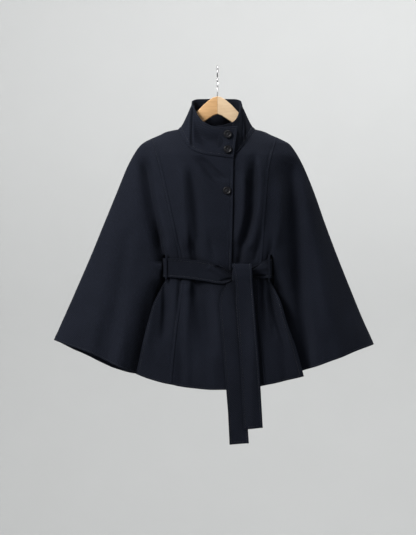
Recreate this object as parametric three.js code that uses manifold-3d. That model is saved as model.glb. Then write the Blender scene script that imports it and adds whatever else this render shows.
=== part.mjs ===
import * as THREE from 'three';
import Module from 'manifold-3d';

// Wool cape coat on a wooden hanger, in millimetres
// +X is the wearer's left, the front faces -Y, +Z is up
// The origin is the inner top of the hook, where it bears on its rail
// A drop is a distance below the origin

// Cloth and seams
const WOOL = 2.5;
const COLLAR_WALL = 3.5;
const BELT_WALL = 3;
const LOOP_WALL = 1.8;
const SEAM_GAP = 0.3;
const REST_GAP = 0.4;
const LAP_STEP = 4.4;

// Levels of the coat
const SHOULDER_DROP = 244;
const NECK_DROP = 172;
const SLIT_DROP = 515;
const BELT_DROP = 552;
const CORNER_DROP_RIGHT = 750;
const CORNER_DROP_LEFT = 762;
const OVER_ARM_WAIST = 490;

// Hanger, hook and buttons
const WOOD_HALF = 6;
const WOOD_ROUND = 2.4;
const WIRE_RADIUS = 1.9;
const HOOK_RADIUS = 19;
const SHANK_BOTTOM = 101;
const BORE_RADIUS = 2.2;
const BUTTON_RADIUS = 10.5;
const BUTTON_THICK = 3.6;

// Rows down a panel: their number above the slit, and their parts of the way from it to the hem
const ROWS_ABOVE = 11;
const ROW_CROWDING = 1.5;
const ROWS_BELOW = [0.03, 0.11, 0.2, 0.25, 0.35, 0.5, 0.66, 0.83, 1];

// Reading tables
const table = (names, rows) =>
  Object.fromEntries(names.split(' ').map((name, i) => [name, rows.map((row) => row[i])]));
const clamp = (t) => Math.min(1, Math.max(0, t));
const mix = (a, b, t) => a + (b - a) * t;
const ease = (t) => clamp(t) ** 2 * (3 - 2 * clamp(t));

// Value at a key, on a smooth curve through the rows that never overshoots them
function curve(keys, values, at) {
  const last = keys.length - 1;
  if (at <= keys[0]) return values[0];
  if (at >= keys[last]) return values[last];
  let i = 0;
  while (at > keys[i + 1]) i += 1;
  const rise = (k) => (values[k + 1] - values[k]) / (keys[k + 1] - keys[k]);
  const slope = (k) => {
    if (k === 0) return rise(0);
    if (k === last) return rise(last - 1);
    const before = rise(k - 1);
    const after = rise(k);
    return before * after <= 0 ? 0 : (2 * before * after) / (before + after);
  };
  const span = keys[i + 1] - keys[i];
  const t = (at - keys[i]) / span;
  const a = slope(i) * span;
  const b = slope(i + 1) * span;
  const gap = values[i + 1] - values[i];
  return values[i] + t * (a + t * (3 * gap - 2 * a - b + t * (a + b - 2 * gap)));
}

// Point at a part of the length of a line through the rows of a table
function onPath(path, names, part) {
  const columns = names.map((name) => path[name]);
  const run = [0];
  for (let i = 1; i < columns[0].length; i += 1) {
    run.push(run[i - 1] + Math.hypot(...columns.map((column) => column[i] - column[i - 1])));
  }
  return columns.map((column) => curve(run, column, part * run[run.length - 1]));
}

// Side outline of the hanging coat, with its slope carried on to the front hem
const OUTLINE = table('drop right left', [
  [172, -110, 106],
  [175, -126, 118],
  [179, -142, 131],
  [187, -158, 147],
  [195, -177, 166],
  [203, -194, 183],
  [211, -207, 197],
  [220, -216, 205],
  [236, -227, 216],
  [255, -238, 227],
  [277, -249, 238],
  [343, -276, 265],
  [431, -312, 296],
  [519, -348, 329],
  [607, -386, 364],
  [695, -425, 400],
  [750, -450, 425],
  [762, -456, 430],
  [900, -518, 490],
]);

// Fullness before and behind the outline plane
const FULLNESS = table('drop front back', [
  [172, 10, 46],
  [180, 22, 52],
  [200, 36, 60],
  [228, 52, 68],
  [250, 62, 73],
  [300, 70, 78],
  [380, 76, 82],
  [450, 76, 84],
  [520, 73, 85],
  [550, 72, 85],
  [590, 74, 87],
  [650, 84, 91],
  [750, 96, 97],
  [860, 106, 103],
  [1000, 110, 107],
]);
const ROUNDNESS = 2.2;
const FLATNESS = 0.62;

// Largest folds, each on a line through three points; a positive height stands out
const FOLDS = 'x1 drop1 x2 drop2 x3 drop3 height width';
const FRONT_FOLDS = table(FOLDS, [
  [-96, 262, -82, 370, -69, 545, 6, 17],
  [-74, 268, -60, 370, -47, 545, -5, 13],
  [96, 262, 92, 380, 60, 545, -11, 15],
  [68, 280, 66, 390, 44, 545, 5, 15],
  [-52, 256, -22, 300, 20, 345, -4, 9],
  [-214, 236, -165, 340, -134, 520, -8, 17],
  [212, 240, 214, 440, 250, 900, -10, 20],
  [-126, 560, -134, 640, -146, 760, -5, 12],
  [-68, 560, -58, 660, -44, 790, 6, 17],
  [-34, 572, -24, 670, -10, 800, -5, 15],
  [-92, 570, -96, 700, -98, 900, -5, 15],
  [126, 560, 140, 660, 150, 760, -6, 13],
  [100, 580, 96, 700, 90, 900, 5, 16],
  [-262, 300, -300, 520, -352, 830, 6, 30],
  [-232, 420, -262, 600, -300, 840, -5, 20],
  [262, 330, 296, 540, 336, 830, 6, 28],
  [250, 470, 262, 620, 282, 840, -4, 16],
]);
const BACK_FOLDS = table(FOLDS, [
  [-150, 250, -190, 520, -240, 900, -8, 26],
  [-96, 330, -120, 600, -150, 900, 7, 26],
  [-40, 420, -46, 640, -56, 900, -6, 20],
  [14, 300, 18, 580, 24, 900, 7, 26],
  [70, 380, 84, 620, 104, 900, -7, 22],
  [130, 300, 164, 560, 204, 900, 7, 26],
  [190, 270, 232, 540, 292, 900, -7, 24],
  [-252, 380, -290, 580, -340, 880, 6, 26],
]);
const FOLD_FADE = 46;
const BELT_CALM = 47;
const BELT_REACH = 42;

function foldHeight(folds, x, drop) {
  let sum = 0;
  for (let i = 0; i < folds.height.length; i += 1) {
    const drops = [folds.drop1[i], folds.drop2[i], folds.drop3[i]];
    const middle = curve(drops, [folds.x1[i], folds.x2[i], folds.x3[i]], drop);
    const inside = ease((drop - drops[0]) / FOLD_FADE) * ease((drops[2] - drop) / FOLD_FADE);
    sum += folds.height[i] * inside * Math.exp(-(((x - middle) / folds.width[i]) ** 2));
  }
  return sum;
}

// Seams and edges, right and left as worn
const RIGHT_PRINCESS = table('drop x', [
  [193, -172.5],
  [287, -148],
  [372, -129],
  [488, -104],
  [520, -97],
  [581, -92],
  [651, -99],
  [720, -108],
  [811, -117],
  [863, -121],
]);
const LEFT_PRINCESS = table('drop x', [
  [194, 164],
  [286, 140],
  [358, 133],
  [437, 127],
  [518, 122],
  [585, 112],
  [665, 110],
  [758, 119],
  [864, 128],
]);
const RIGHT_SLIT = table('drop x', [
  [206, -199],
  [284, -186],
  [356, -176],
  [435, -166],
  [494, -155],
  [515, -147],
]);
const LEFT_SLIT = table('drop x', [
  [208, 192],
  [284, 180],
  [356, 170],
  [435, 159],
  [494, 152],
  [515, 146],
]);
const RIGHT_FREE_EDGE = table('drop x', [
  [515, -147],
  [525, -138],
  [552, -136],
  [580, -137],
  [592, -144],
  [609, -153],
  [646, -171],
  [692, -185],
  [743, -198],
  [835, -217],
]);
const LEFT_FREE_EDGE = table('drop x', [
  [515, 146],
  [525, 138],
  [552, 136],
  [580, 137],
  [592, 143],
  [642, 168],
  [702, 186],
  [766, 209],
  [842, 230],
]);
const RIGHT_HIDDEN_EDGE = table('drop x', [
  [515, -147],
  [530, -150],
  [590, -152],
  [640, -154],
  [700, -166],
  [760, -182],
  [846, -198],
]);
const LEFT_HIDDEN_EDGE = table('drop x', [
  [515, 146],
  [530, 150],
  [590, 152],
  [640, 154],
  [700, 168],
  [760, 188],
  [838, 208],
]);
const RIGHT_FRONT_EDGE = table('drop x', [
  [258, 43],
  [303, 42],
  [384, 41],
  [526, 38],
  [700, 36],
  [876, 34],
]);
const LEFT_FRONT_EDGE = table('drop x', [
  [256, 0],
  [526, -3],
  [871, -6],
]);

const RIGHT_BACK_SEAM = table('drop x', [
  [206, -199],
  [284, -187],
  [400, -176],
  [515, -172],
  [640, -177],
  [760, -189],
  [853, -204],
]);
const LEFT_BACK_SEAM = table('drop x', [
  [208, 192],
  [284, 181],
  [400, 172],
  [515, 168],
  [640, 175],
  [760, 188],
  [845, 204],
]);

// Neck seam
const RIGHT_NECK = table('x drop', [
  [-110, 172],
  [-103, 186],
  [-88, 213],
  [-67, 235],
  [-40, 246],
  [-5, 252],
  [43, 258],
]);
const LEFT_NECK = table('x drop', [
  [106, 172],
  [100, 178],
  [91, 192],
  [76, 215],
  [53, 241],
  [30, 252],
  [0, 256],
]);
const BACK_NECK = table('x drop', [
  [-110, 172],
  [-60, 172.6],
  [0, 173],
  [60, 172.6],
  [106, 172],
]);

// Hems
const RIGHT_FRONT_HEM = table('x drop', [
  [-121, 863],
  [-100, 868],
  [-58, 873],
  [-16, 876],
  [34, 876],
]);
const LEFT_FRONT_HEM = table('x drop', [
  [128, 864],
  [112, 867],
  [69, 872],
  [27, 872.5],
  [-6, 871],
]);
const RIGHT_SIDE_HEM = table('x drop', [
  [-217, 835],
  [-186, 847],
  [-143, 859],
  [-121, 863],
]);
const LEFT_SIDE_HEM = table('x drop', [
  [230, 842],
  [198, 849],
  [155, 859],
  [128, 864],
]);
const RIGHT_SLEEVE_HEM = table('x drop', [
  [-450, 750],
  [-386, 768],
  [-348, 780],
  [-297, 803],
  [-223, 836],
  [-198, 846],
]);
const LEFT_SLEEVE_HEM = table('x drop', [
  [430, 762],
  [378, 777],
  [332, 794],
  [288, 809],
  [244, 825],
  [208, 838],
]);
const BACK_HEM = table('x drop', [
  [-204, 853],
  [-150, 862],
  [-60, 870],
  [20, 871],
  [100, 866],
  [204, 845],
]);
const RIGHT_BACK_SLEEVE_HEM = table('x drop', [
  [-450, 750],
  [-408, 774],
  [-368, 792],
  [-327, 814],
  [-286, 832],
  [-231, 848],
  [-204, 853],
]);
const LEFT_BACK_SLEEVE_HEM = table('x drop', [
  [430, 762],
  [375, 780],
  [320, 801],
  [260, 825],
  [204, 845],
]);

// Outer face of the coat at a place: its depth and outward direction
// The side is -1 before and 1 behind; extra is cloth that stands out further
function face(side, x, drop, extra) {
  const shape = (at) => {
    const right = curve(OUTLINE.drop, OUTLINE.right, at);
    const left = curve(OUTLINE.drop, OUTLINE.left, at);
    const full = curve(FULLNESS.drop, side < 0 ? FULLNESS.front : FULLNESS.back, at);
    return { middle: (left + right) / 2, half: (left - right) / 2, full };
  };
  const folds = side < 0 ? FRONT_FOLDS : BACK_FOLDS;
  const out = (px, at) => {
    const { middle, half } = shape(at);
    const q = Math.min(1, Math.abs(px - middle) / half);
    const calm = ease((Math.abs(at - BELT_DROP) - BELT_CALM) / BELT_REACH);
    return (foldHeight(folds, px, at) * calm + (extra ? extra(px, at) : 0)) * (1 - q ** 8);
  };
  const step = 0.5;
  const here = shape(drop);
  const above = shape(drop - step);
  const below = shape(drop + step);
  const fall = (name) => (below[name] - above[name]) / (2 * step);
  const offset = (x - here.middle) / here.half;
  const q = Math.min(1, Math.abs(offset));
  const sign = Math.sign(offset) || 1;
  const room = Math.max(1e-7, 1 - q ** ROUNDNESS);
  const bulge = room ** FLATNESS;
  const bend = -FLATNESS * ROUNDNESS * q ** (ROUNDNESS - 1) * room ** (FLATNESS - 1) * sign;
  const turn = -(fall('middle') + offset * fall('half')) / here.half;
  const outX = (here.full * bend) / here.half + (out(x + step, drop) - out(x - step, drop));
  const outDrop =
    fall('full') * bulge + here.full * bend * turn + (out(x, drop + step) - out(x, drop - step));
  const edge = q > 0.9995;
  const normal = new THREE.Vector3(-outX, side, outDrop);
  if (edge) normal.y = 0;
  normal.normalize();
  const y = edge ? (side * SEAM_GAP) / 2 : side * (here.full * bulge + out(x, drop));
  return { point: new THREE.Vector3(x, y, -drop), normal };
}

// Cloth that stands out from, or lies back of, the common face: the left front under the
// right one, the sleeves behind the free edges, and those edges where they flare
const UNDERLAP = { end: 75, fade: 25 };
const BEHIND = { depth: 10, from: 520, fade: 70, reach: 95 };
const FLARE = { height: 4, from: 590, fade: 90, reach: 45 };
const underlap = (x) => -LAP_STEP * ease((UNDERLAP.end - x) / UNDERLAP.fade);
const behind = (edge, worn) => (x, drop) => {
  const outward = (x - curve(edge.drop, edge.x, drop)) * worn;
  const lower = ease((drop - BEHIND.from) / BEHIND.fade);
  return -BEHIND.depth * lower * (1 - ease(outward / BEHIND.reach));
};
const flare = (edge, worn) => (x, drop) => {
  const inward = (curve(edge.drop, edge.x, drop) - x) * worn;
  const lower = ease((drop - FLARE.from) / FLARE.fade);
  return FLARE.height * lower * (1 - ease(inward / FLARE.reach));
};

// Meshes
const group = new THREE.Group();
group.name = 'wool_cape_coat';
const NAVY = 0x1d212c;
const WOODEN = 0xd9b384;
const STEEL = 0x9a9c9e;
const HORN = 0x15161a;

function addMesh(name, points, faces, color, rough, metal = 0) {
  const geometry = new THREE.BufferGeometry();
  geometry.setAttribute('position', new THREE.Float32BufferAttribute(points, 3));
  geometry.setIndex(faces);
  geometry.computeVertexNormals();
  const skin = { color, roughness: rough, metalness: metal };
  const mesh = new THREE.Mesh(geometry, new THREE.MeshStandardMaterial(skin));
  mesh.name = name;
  group.add(mesh);
}

// Faces turned so that the volume they close is positive
function outwardFaces(points, faces) {
  const at = (i) => new THREE.Vector3(...points.slice(3 * i, 3 * i + 3));
  let volume = 0;
  for (let i = 0; i < faces.length; i += 3) {
    const [a, b, c] = [at(faces[i]), at(faces[i + 1]), at(faces[i + 2])];
    volume += a.dot(b.cross(c));
  }
  if (volume > 0) return faces;
  const turned = [];
  for (let i = 0; i < faces.length; i += 3) turned.push(faces[i], faces[i + 2], faces[i + 1]);
  return turned;
}

// Closed wall between a grid of outer points and the same points moved in by its thickness
function addWall(name, outer, inner, color = NAVY) {
  const rows = outer.length;
  const columns = outer[0].length;
  const points = [...outer.flat(), ...inner.flat()].flatMap((p) => [p.x, p.y, p.z]);
  const faces = [];
  const out = (j, i) => j * columns + i;
  const within = (j, i) => rows * columns + out(j, i);
  const quad = (a, b, c, d) => faces.push(a, b, c, a, c, d);
  for (let j = 0; j < rows - 1; j += 1) {
    for (let i = 0; i < columns - 1; i += 1) {
      quad(out(j, i), out(j + 1, i), out(j + 1, i + 1), out(j, i + 1));
      quad(within(j, i), within(j, i + 1), within(j + 1, i + 1), within(j + 1, i));
    }
  }
  for (let j = 0; j < rows - 1; j += 1) {
    const right = columns - 1;
    quad(out(j, 0), within(j, 0), within(j + 1, 0), out(j + 1, 0));
    quad(out(j, right), out(j + 1, right), within(j + 1, right), within(j, right));
  }
  for (let i = 0; i < columns - 1; i += 1) {
    const foot = rows - 1;
    quad(out(0, i), out(0, i + 1), within(0, i + 1), within(0, i));
    quad(out(foot, i), within(foot, i), within(foot, i + 1), out(foot, i + 1));
  }
  addMesh(name, points, outwardFaces(points, faces), color, 0.95);
}

// Normals of a grid, all turned away from a point inside
function gridNormals(grid, heart) {
  const rows = grid.length;
  const columns = grid[0].length;
  return grid.map((line, j) =>
    line.map((point, i) => {
      const alongLine = grid[j][Math.min(i + 1, columns - 1)]
        .clone()
        .sub(grid[j][Math.max(i - 1, 0)]);
      const alongRows = grid[Math.min(j + 1, rows - 1)][i]
        .clone()
        .sub(grid[Math.max(j - 1, 0)][i]);
      const normal = alongLine.cross(alongRows).normalize();
      const away = point.clone().sub(heart);
      return normal.dot(away) < 0 ? normal.negate() : normal;
    }),
  );
}

const moved = (grid, normals, distance) =>
  grid.map((line, j) => line.map((p, i) => p.clone().addScaledVector(normals[j][i], distance)));

// Panels of the body
// Place down a seam for each row, closer together under the shoulder
function rowDrops(top, waist, hem) {
  const drops = [];
  for (let j = 0; j <= ROWS_ABOVE; j += 1) {
    drops.push(mix(top, waist, (j / ROWS_ABOVE) ** ROW_CROWDING));
  }
  ROWS_BELOW.forEach((part) => drops.push(mix(waist, hem, part)));
  return drops;
}

const downSeam = (seam, drops, shift) =>
  drops.map((drop) => [curve(seam.drop, seam.x, drop) + shift, drop]);
const outlineAt = (column, drop) => [curve(OUTLINE.drop, OUTLINE[column], drop), drop];

// Place on the outline at a distance out from the middle
function outlineAcross(column, x) {
  let high = NECK_DROP;
  let low = CORNER_DROP_RIGHT;
  for (let i = 0; i < 40; i += 1) {
    const middle = (high + low) / 2;
    if (Math.abs(outlineAt(column, middle)[0]) < Math.abs(x)) high = middle;
    else low = middle;
  }
  return [x, high];
}

// Four-sided patch between its edges: top and hem by columns, first and last by rows
function patch(top, hem, first, last) {
  const columns = top.length;
  const rows = first.length;
  const part = (line, k, axis) =>
    (line[k][axis] - line[0][axis]) / (line[line.length - 1][axis] - line[0][axis]);
  return first.map((start, j) =>
    top.map((head, i) => {
      const u = part(top, i, 0);
      const v = (part(first, j, 1) + part(last, j, 1)) / 2;
      return [0, 1].map(
        (axis) =>
          mix(head[axis], hem[i][axis], v) +
          mix(start[axis], last[j][axis], u) -
          mix(
            mix(top[0][axis], top[columns - 1][axis], u),
            mix(first[rows - 1][axis], last[rows - 1][axis], u),
            v,
          ),
      );
    }),
  );
}

function addPanel(name, side, flat, extra) {
  const faces = flat.map((line) => line.map(([x, drop]) => face(side, x, drop, extra)));
  const outer = faces.map((line) => line.map((f) => f.point));
  const normals = faces.map((line) => line.map((f) => f.normal));
  addWall(name, outer, moved(outer, normals, -WOOL));
}

// Hem places under each column of a top edge
function hemUnder(top, hem) {
  const start = top[0][0];
  const width = top[top.length - 1][0] - start;
  const [first, last] = [hem.x[0], hem.x[hem.x.length - 1]];
  const order = last > first ? 1 : -1;
  const keys = order > 0 ? hem.x : [...hem.x].reverse();
  const drops = order > 0 ? hem.drop : [...hem.drop].reverse();
  return top.map(([x]) => {
    const at = mix(first, last, (x - start) / width);
    return [at, curve(keys, drops, at)];
  });
}

// The side edges start at the corners of the top, and the hem ends where they end
function framed(top, hem, first, last) {
  const start = [top[0], ...first.slice(1)];
  const end = [top.at(-1), ...last.slice(1)];
  const foot = [first.at(-1), ...hem.slice(1, -1), last.at(-1)];
  return patch(top, foot, start, end);
}

const steps = (count) => Array.from({ length: count }, (_, i) => i / (count - 1));
const HALF_GAP = SEAM_GAP / 2;

// Centre fronts: from the princess seam over the shoulder and round the neck to the front edge
function centerFront(name, column, princess, neck, hem, edge, worn, extra) {
  const topDrop = princess.drop[0];
  const [outX] = outlineAt(column, topDrop);
  const neckX = neck.x[0];
  const inset = -worn * HALF_GAP;
  const shoulder = [0, 0.3, 0.65].map((t) => outlineAcross(column, mix(outX + inset, neckX, t)));
  const neckline = steps(11).map((t) => onPath(neck, ['x', 'drop'], t));
  const top = [...shoulder, ...neckline];
  const foot = hemUnder(top, hem);
  const seam = downSeam(princess, rowDrops(topDrop, SLIT_DROP, princess.drop.at(-1)), inset);
  const front = downSeam(edge, rowDrops(edge.drop[0], SLIT_DROP, edge.drop.at(-1)), 0);
  addPanel(name, -1, framed(top, foot, seam, front), extra);
}

// Side fronts: from the slit seam and the free edge under it to the princess seam
function sideFront(name, column, slit, free, princess, hem, worn) {
  const out = [
    outlineAt(column, slit.drop[0])[0] - worn * HALF_GAP,
    outlineAt(column, princess.drop[0])[0] + worn * HALF_GAP,
  ];
  const top = steps(7).map((t) => outlineAcross(column, mix(out[0], out[1], t)));
  const foot = hemUnder(top, hem);
  const drops = rowDrops(slit.drop[0], SLIT_DROP, free.drop.at(-1));
  const outerEdge = drops.map((drop) => {
    const line = drop <= SLIT_DROP ? slit : free;
    return [curve(line.drop, line.x, drop) - worn * HALF_GAP, drop];
  });
  const seamDrops = rowDrops(princess.drop[0], SLIT_DROP, princess.drop.at(-1));
  const seam = downSeam(princess, seamDrops, worn * HALF_GAP);
  addPanel(name, -1, framed(top, foot, outerEdge, seam), flare(free, worn));
}

// Sleeve halves: from the over-arm edge to the seam with the body, and before it the edge
// hidden under the slit
function sleeveHalf(name, side, column, seam, below, hem, cornerDrop, worn, extra) {
  const endX = outlineAt(column, SHOULDER_DROP)[0];
  const seamX = outlineAt(column, seam.drop[0])[0] + worn * HALF_GAP;
  const across = [0, 0.012, 0.04, 0.09, 0.17, 0.28, 0.41, 0.55, 0.7, 0.85, 1];
  const top = across.map((t) => outlineAcross(column, mix(endX, seamX, t)));
  const foot = hemUnder(top, hem);
  const overDrops = rowDrops(SHOULDER_DROP, OVER_ARM_WAIST, cornerDrop);
  const overArm = overDrops.map((drop) => outlineAt(column, drop));
  const inner = rowDrops(seam.drop[0], SLIT_DROP, below.drop.at(-1)).map((drop) => {
    const line = drop <= SLIT_DROP ? seam : below;
    return [curve(line.drop, line.x, drop) + worn * HALF_GAP, drop];
  });
  addPanel(name, side, framed(top, foot, overArm, inner), extra);
}

centerFront(
  'front_center_r', 'right', RIGHT_PRINCESS, RIGHT_NECK, RIGHT_FRONT_HEM, RIGHT_FRONT_EDGE, -1);
centerFront(
  'front_center_l', 'left', LEFT_PRINCESS, LEFT_NECK, LEFT_FRONT_HEM, LEFT_FRONT_EDGE, 1, underlap);
sideFront(
  'front_side_r', 'right', RIGHT_SLIT, RIGHT_FREE_EDGE, RIGHT_PRINCESS, RIGHT_SIDE_HEM, -1);
sideFront('front_side_l', 'left', LEFT_SLIT, LEFT_FREE_EDGE, LEFT_PRINCESS, LEFT_SIDE_HEM, 1);
sleeveHalf(
  'sleeve_front_r', -1, 'right', RIGHT_SLIT, RIGHT_HIDDEN_EDGE, RIGHT_SLEEVE_HEM,
  CORNER_DROP_RIGHT, -1, behind(RIGHT_FREE_EDGE, -1));
sleeveHalf(
  'sleeve_front_l', -1, 'left', LEFT_SLIT, LEFT_HIDDEN_EDGE, LEFT_SLEEVE_HEM,
  CORNER_DROP_LEFT, 1, behind(LEFT_FREE_EDGE, 1));
sleeveHalf(
  'sleeve_back_r', 1, 'right', RIGHT_BACK_SEAM, RIGHT_BACK_SEAM, RIGHT_BACK_SLEEVE_HEM,
  CORNER_DROP_RIGHT, -1);
sleeveHalf(
  'sleeve_back_l', 1, 'left', LEFT_BACK_SEAM, LEFT_BACK_SEAM, LEFT_BACK_SLEEVE_HEM,
  CORNER_DROP_LEFT, 1);

// Back: one piece from sleeve seam to sleeve seam
{
  const [rightTop, leftTop] = [RIGHT_BACK_SEAM.drop[0], LEFT_BACK_SEAM.drop[0]];
  const rightX = outlineAt('right', rightTop)[0] + HALF_GAP;
  const leftX = outlineAt('left', leftTop)[0] - HALF_GAP;
  const [neckR, neckL] = [BACK_NECK.x[0], BACK_NECK.x.at(-1)];
  const close = [0, 0.25, 0.5, 0.75];
  const right = close.map((t) => outlineAcross('right', mix(rightX, neckR, t)));
  const neck = steps(11).map((t) => onPath(BACK_NECK, ['x', 'drop'], t));
  const left = close.map((t) => outlineAcross('left', mix(leftX, neckL, t))).reverse();
  const top = [...right, ...neck, ...left];
  const foot = hemUnder(top, BACK_HEM);
  const downRight = rowDrops(rightTop, SLIT_DROP, RIGHT_BACK_SEAM.drop.at(-1));
  const downLeft = rowDrops(leftTop, SLIT_DROP, LEFT_BACK_SEAM.drop.at(-1));
  const first = downSeam(RIGHT_BACK_SEAM, downRight, HALF_GAP);
  const last = downSeam(LEFT_BACK_SEAM, downLeft, -HALF_GAP);
  addPanel('back', 1, framed(top, foot, first, last));
}

// Collar: one band from its outer end round the neck to the end that lies under it
const RIGHT_RIM = table('x y drop', [
  [-69, 4, 98],
  [-67, -12, 109],
  [-59, -30, 127],
  [-48, -43, 147],
  [-34, -50, 159],
  [-15, -55, 169],
  [12, -58, 172],
  [54, -60, 170],
]);
const BACK_RIM = table('x y drop', [
  [-69, 4, 98],
  [-70, 18, 92],
  [-66, 33, 86],
  [-52, 42, 82],
  [0, 45, 81],
  [48, 42, 82],
  [61, 33, 86],
  [65, 18, 92],
  [65, 4, 98],
]);
const LEFT_RIM = table('x y drop', [
  [65, 4, 98],
  [63, -12, 110],
  [59, -28, 129],
  [52, -40, 146],
  [39, -47, 158],
  [15, -51, 166],
  [0, -52, 168],
]);
const COLLAR_ROWS = [0, 0.12, 0.26, 0.42, 0.6, 0.8, 1];
const COLLAR_FOOT_DIP = 6;
const COLLAR_LIFT = 0.5;
const COLLAR_SIDES = { from: 55, fade: 45 };
const COLLAR_BEND = 0.45;
const NECK_HEART = new THREE.Vector3(0, -5, -190);

function collarColumn(seam, rim) {
  const inward = new THREE.Vector3(-seam.x, -seam.y, 0);
  const sideways = clamp((Math.abs(seam.x) - COLLAR_SIDES.from) / COLLAR_SIDES.fade);
  inward.normalize();
  return COLLAR_ROWS.map((t) => {
    const dip = COLLAR_FOOT_DIP * sideways * Math.sin(Math.PI * t ** COLLAR_BEND);
    const point = seam.clone().lerp(rim, t).addScaledVector(inward, dip);
    point.z += COLLAR_LIFT * (1 - t);
    return point;
  });
}

{
  const frontSeam = (neck, extra) => (t) => {
    const [x, drop] = onPath(neck, ['x', 'drop'], t);
    return face(-1, x, drop, extra).point;
  };
  const backSeam = (t) => {
    const [x, drop] = onPath(BACK_NECK, ['x', 'drop'], t);
    return face(1, x, drop).point;
  };
  const rimAt = (rim) => (t) => {
    const [x, y, drop] = onPath(rim, ['x', 'y', 'drop'], t);
    return new THREE.Vector3(x, y, -drop);
  };
  const parts = [
    [steps(11).map((t) => 1 - t), frontSeam(RIGHT_NECK), rimAt(RIGHT_RIM)],
    [steps(15).slice(1, -1), backSeam, rimAt(BACK_RIM)],
    [steps(11), frontSeam(LEFT_NECK, underlap), rimAt(LEFT_RIM)],
  ];
  const columns = parts.flatMap(([places, seam, rim]) =>
    places.map((t) => collarColumn(seam(t), rim(t))),
  );
  const grid = COLLAR_ROWS.map((_, j) => columns.map((column) => column[j]));
  const normals = gridNormals(grid, NECK_HEART);
  normals[0].forEach((normal) => normal.setZ(0).normalize());
  addWall('collar', grid, moved(grid, normals, -COLLAR_WALL));
}

// Belt
const onFront = (x, drop, proud, extra) => {
  const { point } = face(-1, x, drop, extra);
  point.y -= proud;
  return point;
};
const BELT_PROUD = BELT_WALL + 1;
const ACROSS = [0, 0.25, 0.5, 0.75, 1];

function addRibbon(name, grid, heart, thick) {
  const normals = gridNormals(grid, heart);
  addWall(name, grid, moved(grid, normals, -thick));
}

const BELT_FRONT_RIGHT = table('x top bottom', [
  [40, 567, 583],
  [30, 560, 591],
  [17, 551, 595],
  [-4, 543, 594],
  [-30, 536, 589],
  [-66, 531, 584],
  [-100, 528, 580],
  [-128, 526, 578],
  [-138, 526, 577.5],
]);
const BELT_FRONT_LEFT = table('x top bottom', [
  [91, 553, 578],
  [100, 548, 579],
  [114, 541, 580],
  [127, 533, 580],
  [138, 527, 579],
]);
// Turn of the belt through a slit: distance out past the last row, and depth behind the face
const SLIT_TURN = table('out back', [
  [3.6, -2.9],
  [6.2, 0],
  [7.6, 4],
]);
const SLIT_END_DEPTH = -56;
const SLIT_END_OUT = 8;
const BELT_COLUMN = 11;

function beltFront(name, rows, worn) {
  const count = Math.round(Math.abs(rows.x.at(-1) - rows.x[0]) / BELT_COLUMN);
  const lines = steps(count).map((part) => {
    const [x, top, bottom] = onPath(rows, ['x', 'top', 'bottom'], part);
    return ACROSS.map((t) => onFront(x, mix(top, bottom, t), BELT_PROUD));
  });
  const endX = rows.x.at(-1);
  const down = (t) => mix(rows.top.at(-1), rows.bottom.at(-1), t);
  SLIT_TURN.out.forEach((out, k) => {
    lines.push(ACROSS.map((t) => {
      const point = onFront(endX, down(t), -SLIT_TURN.back[k]);
      point.x = endX + worn * out;
      return point;
    }));
  });
  const finalX = endX + worn * SLIT_END_OUT;
  lines.push(ACROSS.map((t) => new THREE.Vector3(finalX, SLIT_END_DEPTH, -down(t))));
  addRibbon(name, lines, new THREE.Vector3(0, 300, -BELT_DROP), BELT_WALL);
}
beltFront('belt_front_r', BELT_FRONT_RIGHT, -1);
beltFront('belt_front_l', BELT_FRONT_LEFT, 1);

// Hidden run of the belt inside the back, in plan
const BELT_BACK = table('x y', [
  [-146, -55.7],
  [-150, -34],
  [-149, -6],
  [-136, 28],
  [-104, 54],
  [-56, 68],
  [0, 72],
  [56, 68],
  [104, 54],
  [136, 28],
  [149, -6],
  [150, -34],
  [146, -55.7],
]);
const BELT_BACK_TOP = 526;
const BELT_BACK_BOTTOM = 577;
{
  const lines = steps(23).map((t) => {
    const [x, y] = onPath(BELT_BACK, ['x', 'y'], t);
    return [0, 0.5, 1].map(
      (s) => new THREE.Vector3(x, y, -mix(BELT_BACK_TOP, BELT_BACK_BOTTOM, s)),
    );
  });
  addRibbon('belt_back', lines, new THREE.Vector3(0, -20, -BELT_DROP), BELT_WALL);
}

// Tails: edges at each level, and how far the outer face stands before the front
const FRONT_TAIL = table('drop left right proud', [
  [545.5, 46, 89, 12],
  [542.4, 46, 89, 16],
  [541.4, 45, 89.5, 20],
  [544, 44, 90, 26],
  [553, 44, 90.5, 29.8],
  [575, 45, 91, 30.6],
  [600, 47, 92.5, 27],
  [640, 49.5, 96, 17],
  [690, 53, 100, 10.4],
  [745, 56, 104, 8.8],
  [800, 59, 108.5, 8.4],
  [866, 62.5, 113, 8.4],
  [920, 65, 116, 8.8],
  [980, 68, 119, 9.2],
]);
const REAR_TAIL = table('drop left right proud', [
  [597, 23, 52, 12],
  [606, 17, 53, 11],
  [618, 10, 54, 9],
  [634, 6, 54, 7],
  [655, 4, 55, 5.4],
  [713, 9, 59, 4.3],
  [790, 15, 65, 4.3],
  [868, 21.5, 71.5, 4.3],
  [940, 27, 77, 4.8],
  [1021, 31, 82, 5],
]);
const TAIL_END_RISE = 4;
const TAIL_REST = { from: 590, to: 868 };

function addTail(name, rows) {
  const last = rows.drop.length - 1;
  const lines = rows.drop.map((drop, k) =>
    ACROSS.map((t) => {
      const x = mix(rows.left[k], rows.right[k], t);
      const rest = Math.max(Math.min(drop, TAIL_REST.to), TAIL_REST.from);
      const rise = k === last ? TAIL_END_RISE * t : 0;
      const point = onFront(x, rest, rows.proud[k]);
      point.z = -(drop - rise);
      return point;
    }),
  );
  addRibbon(name, lines, new THREE.Vector3(60, 40, -640), BELT_WALL);
}
addTail('belt_tail_front', FRONT_TAIL);
addTail('belt_tail_rear', REAR_TAIL);

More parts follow.
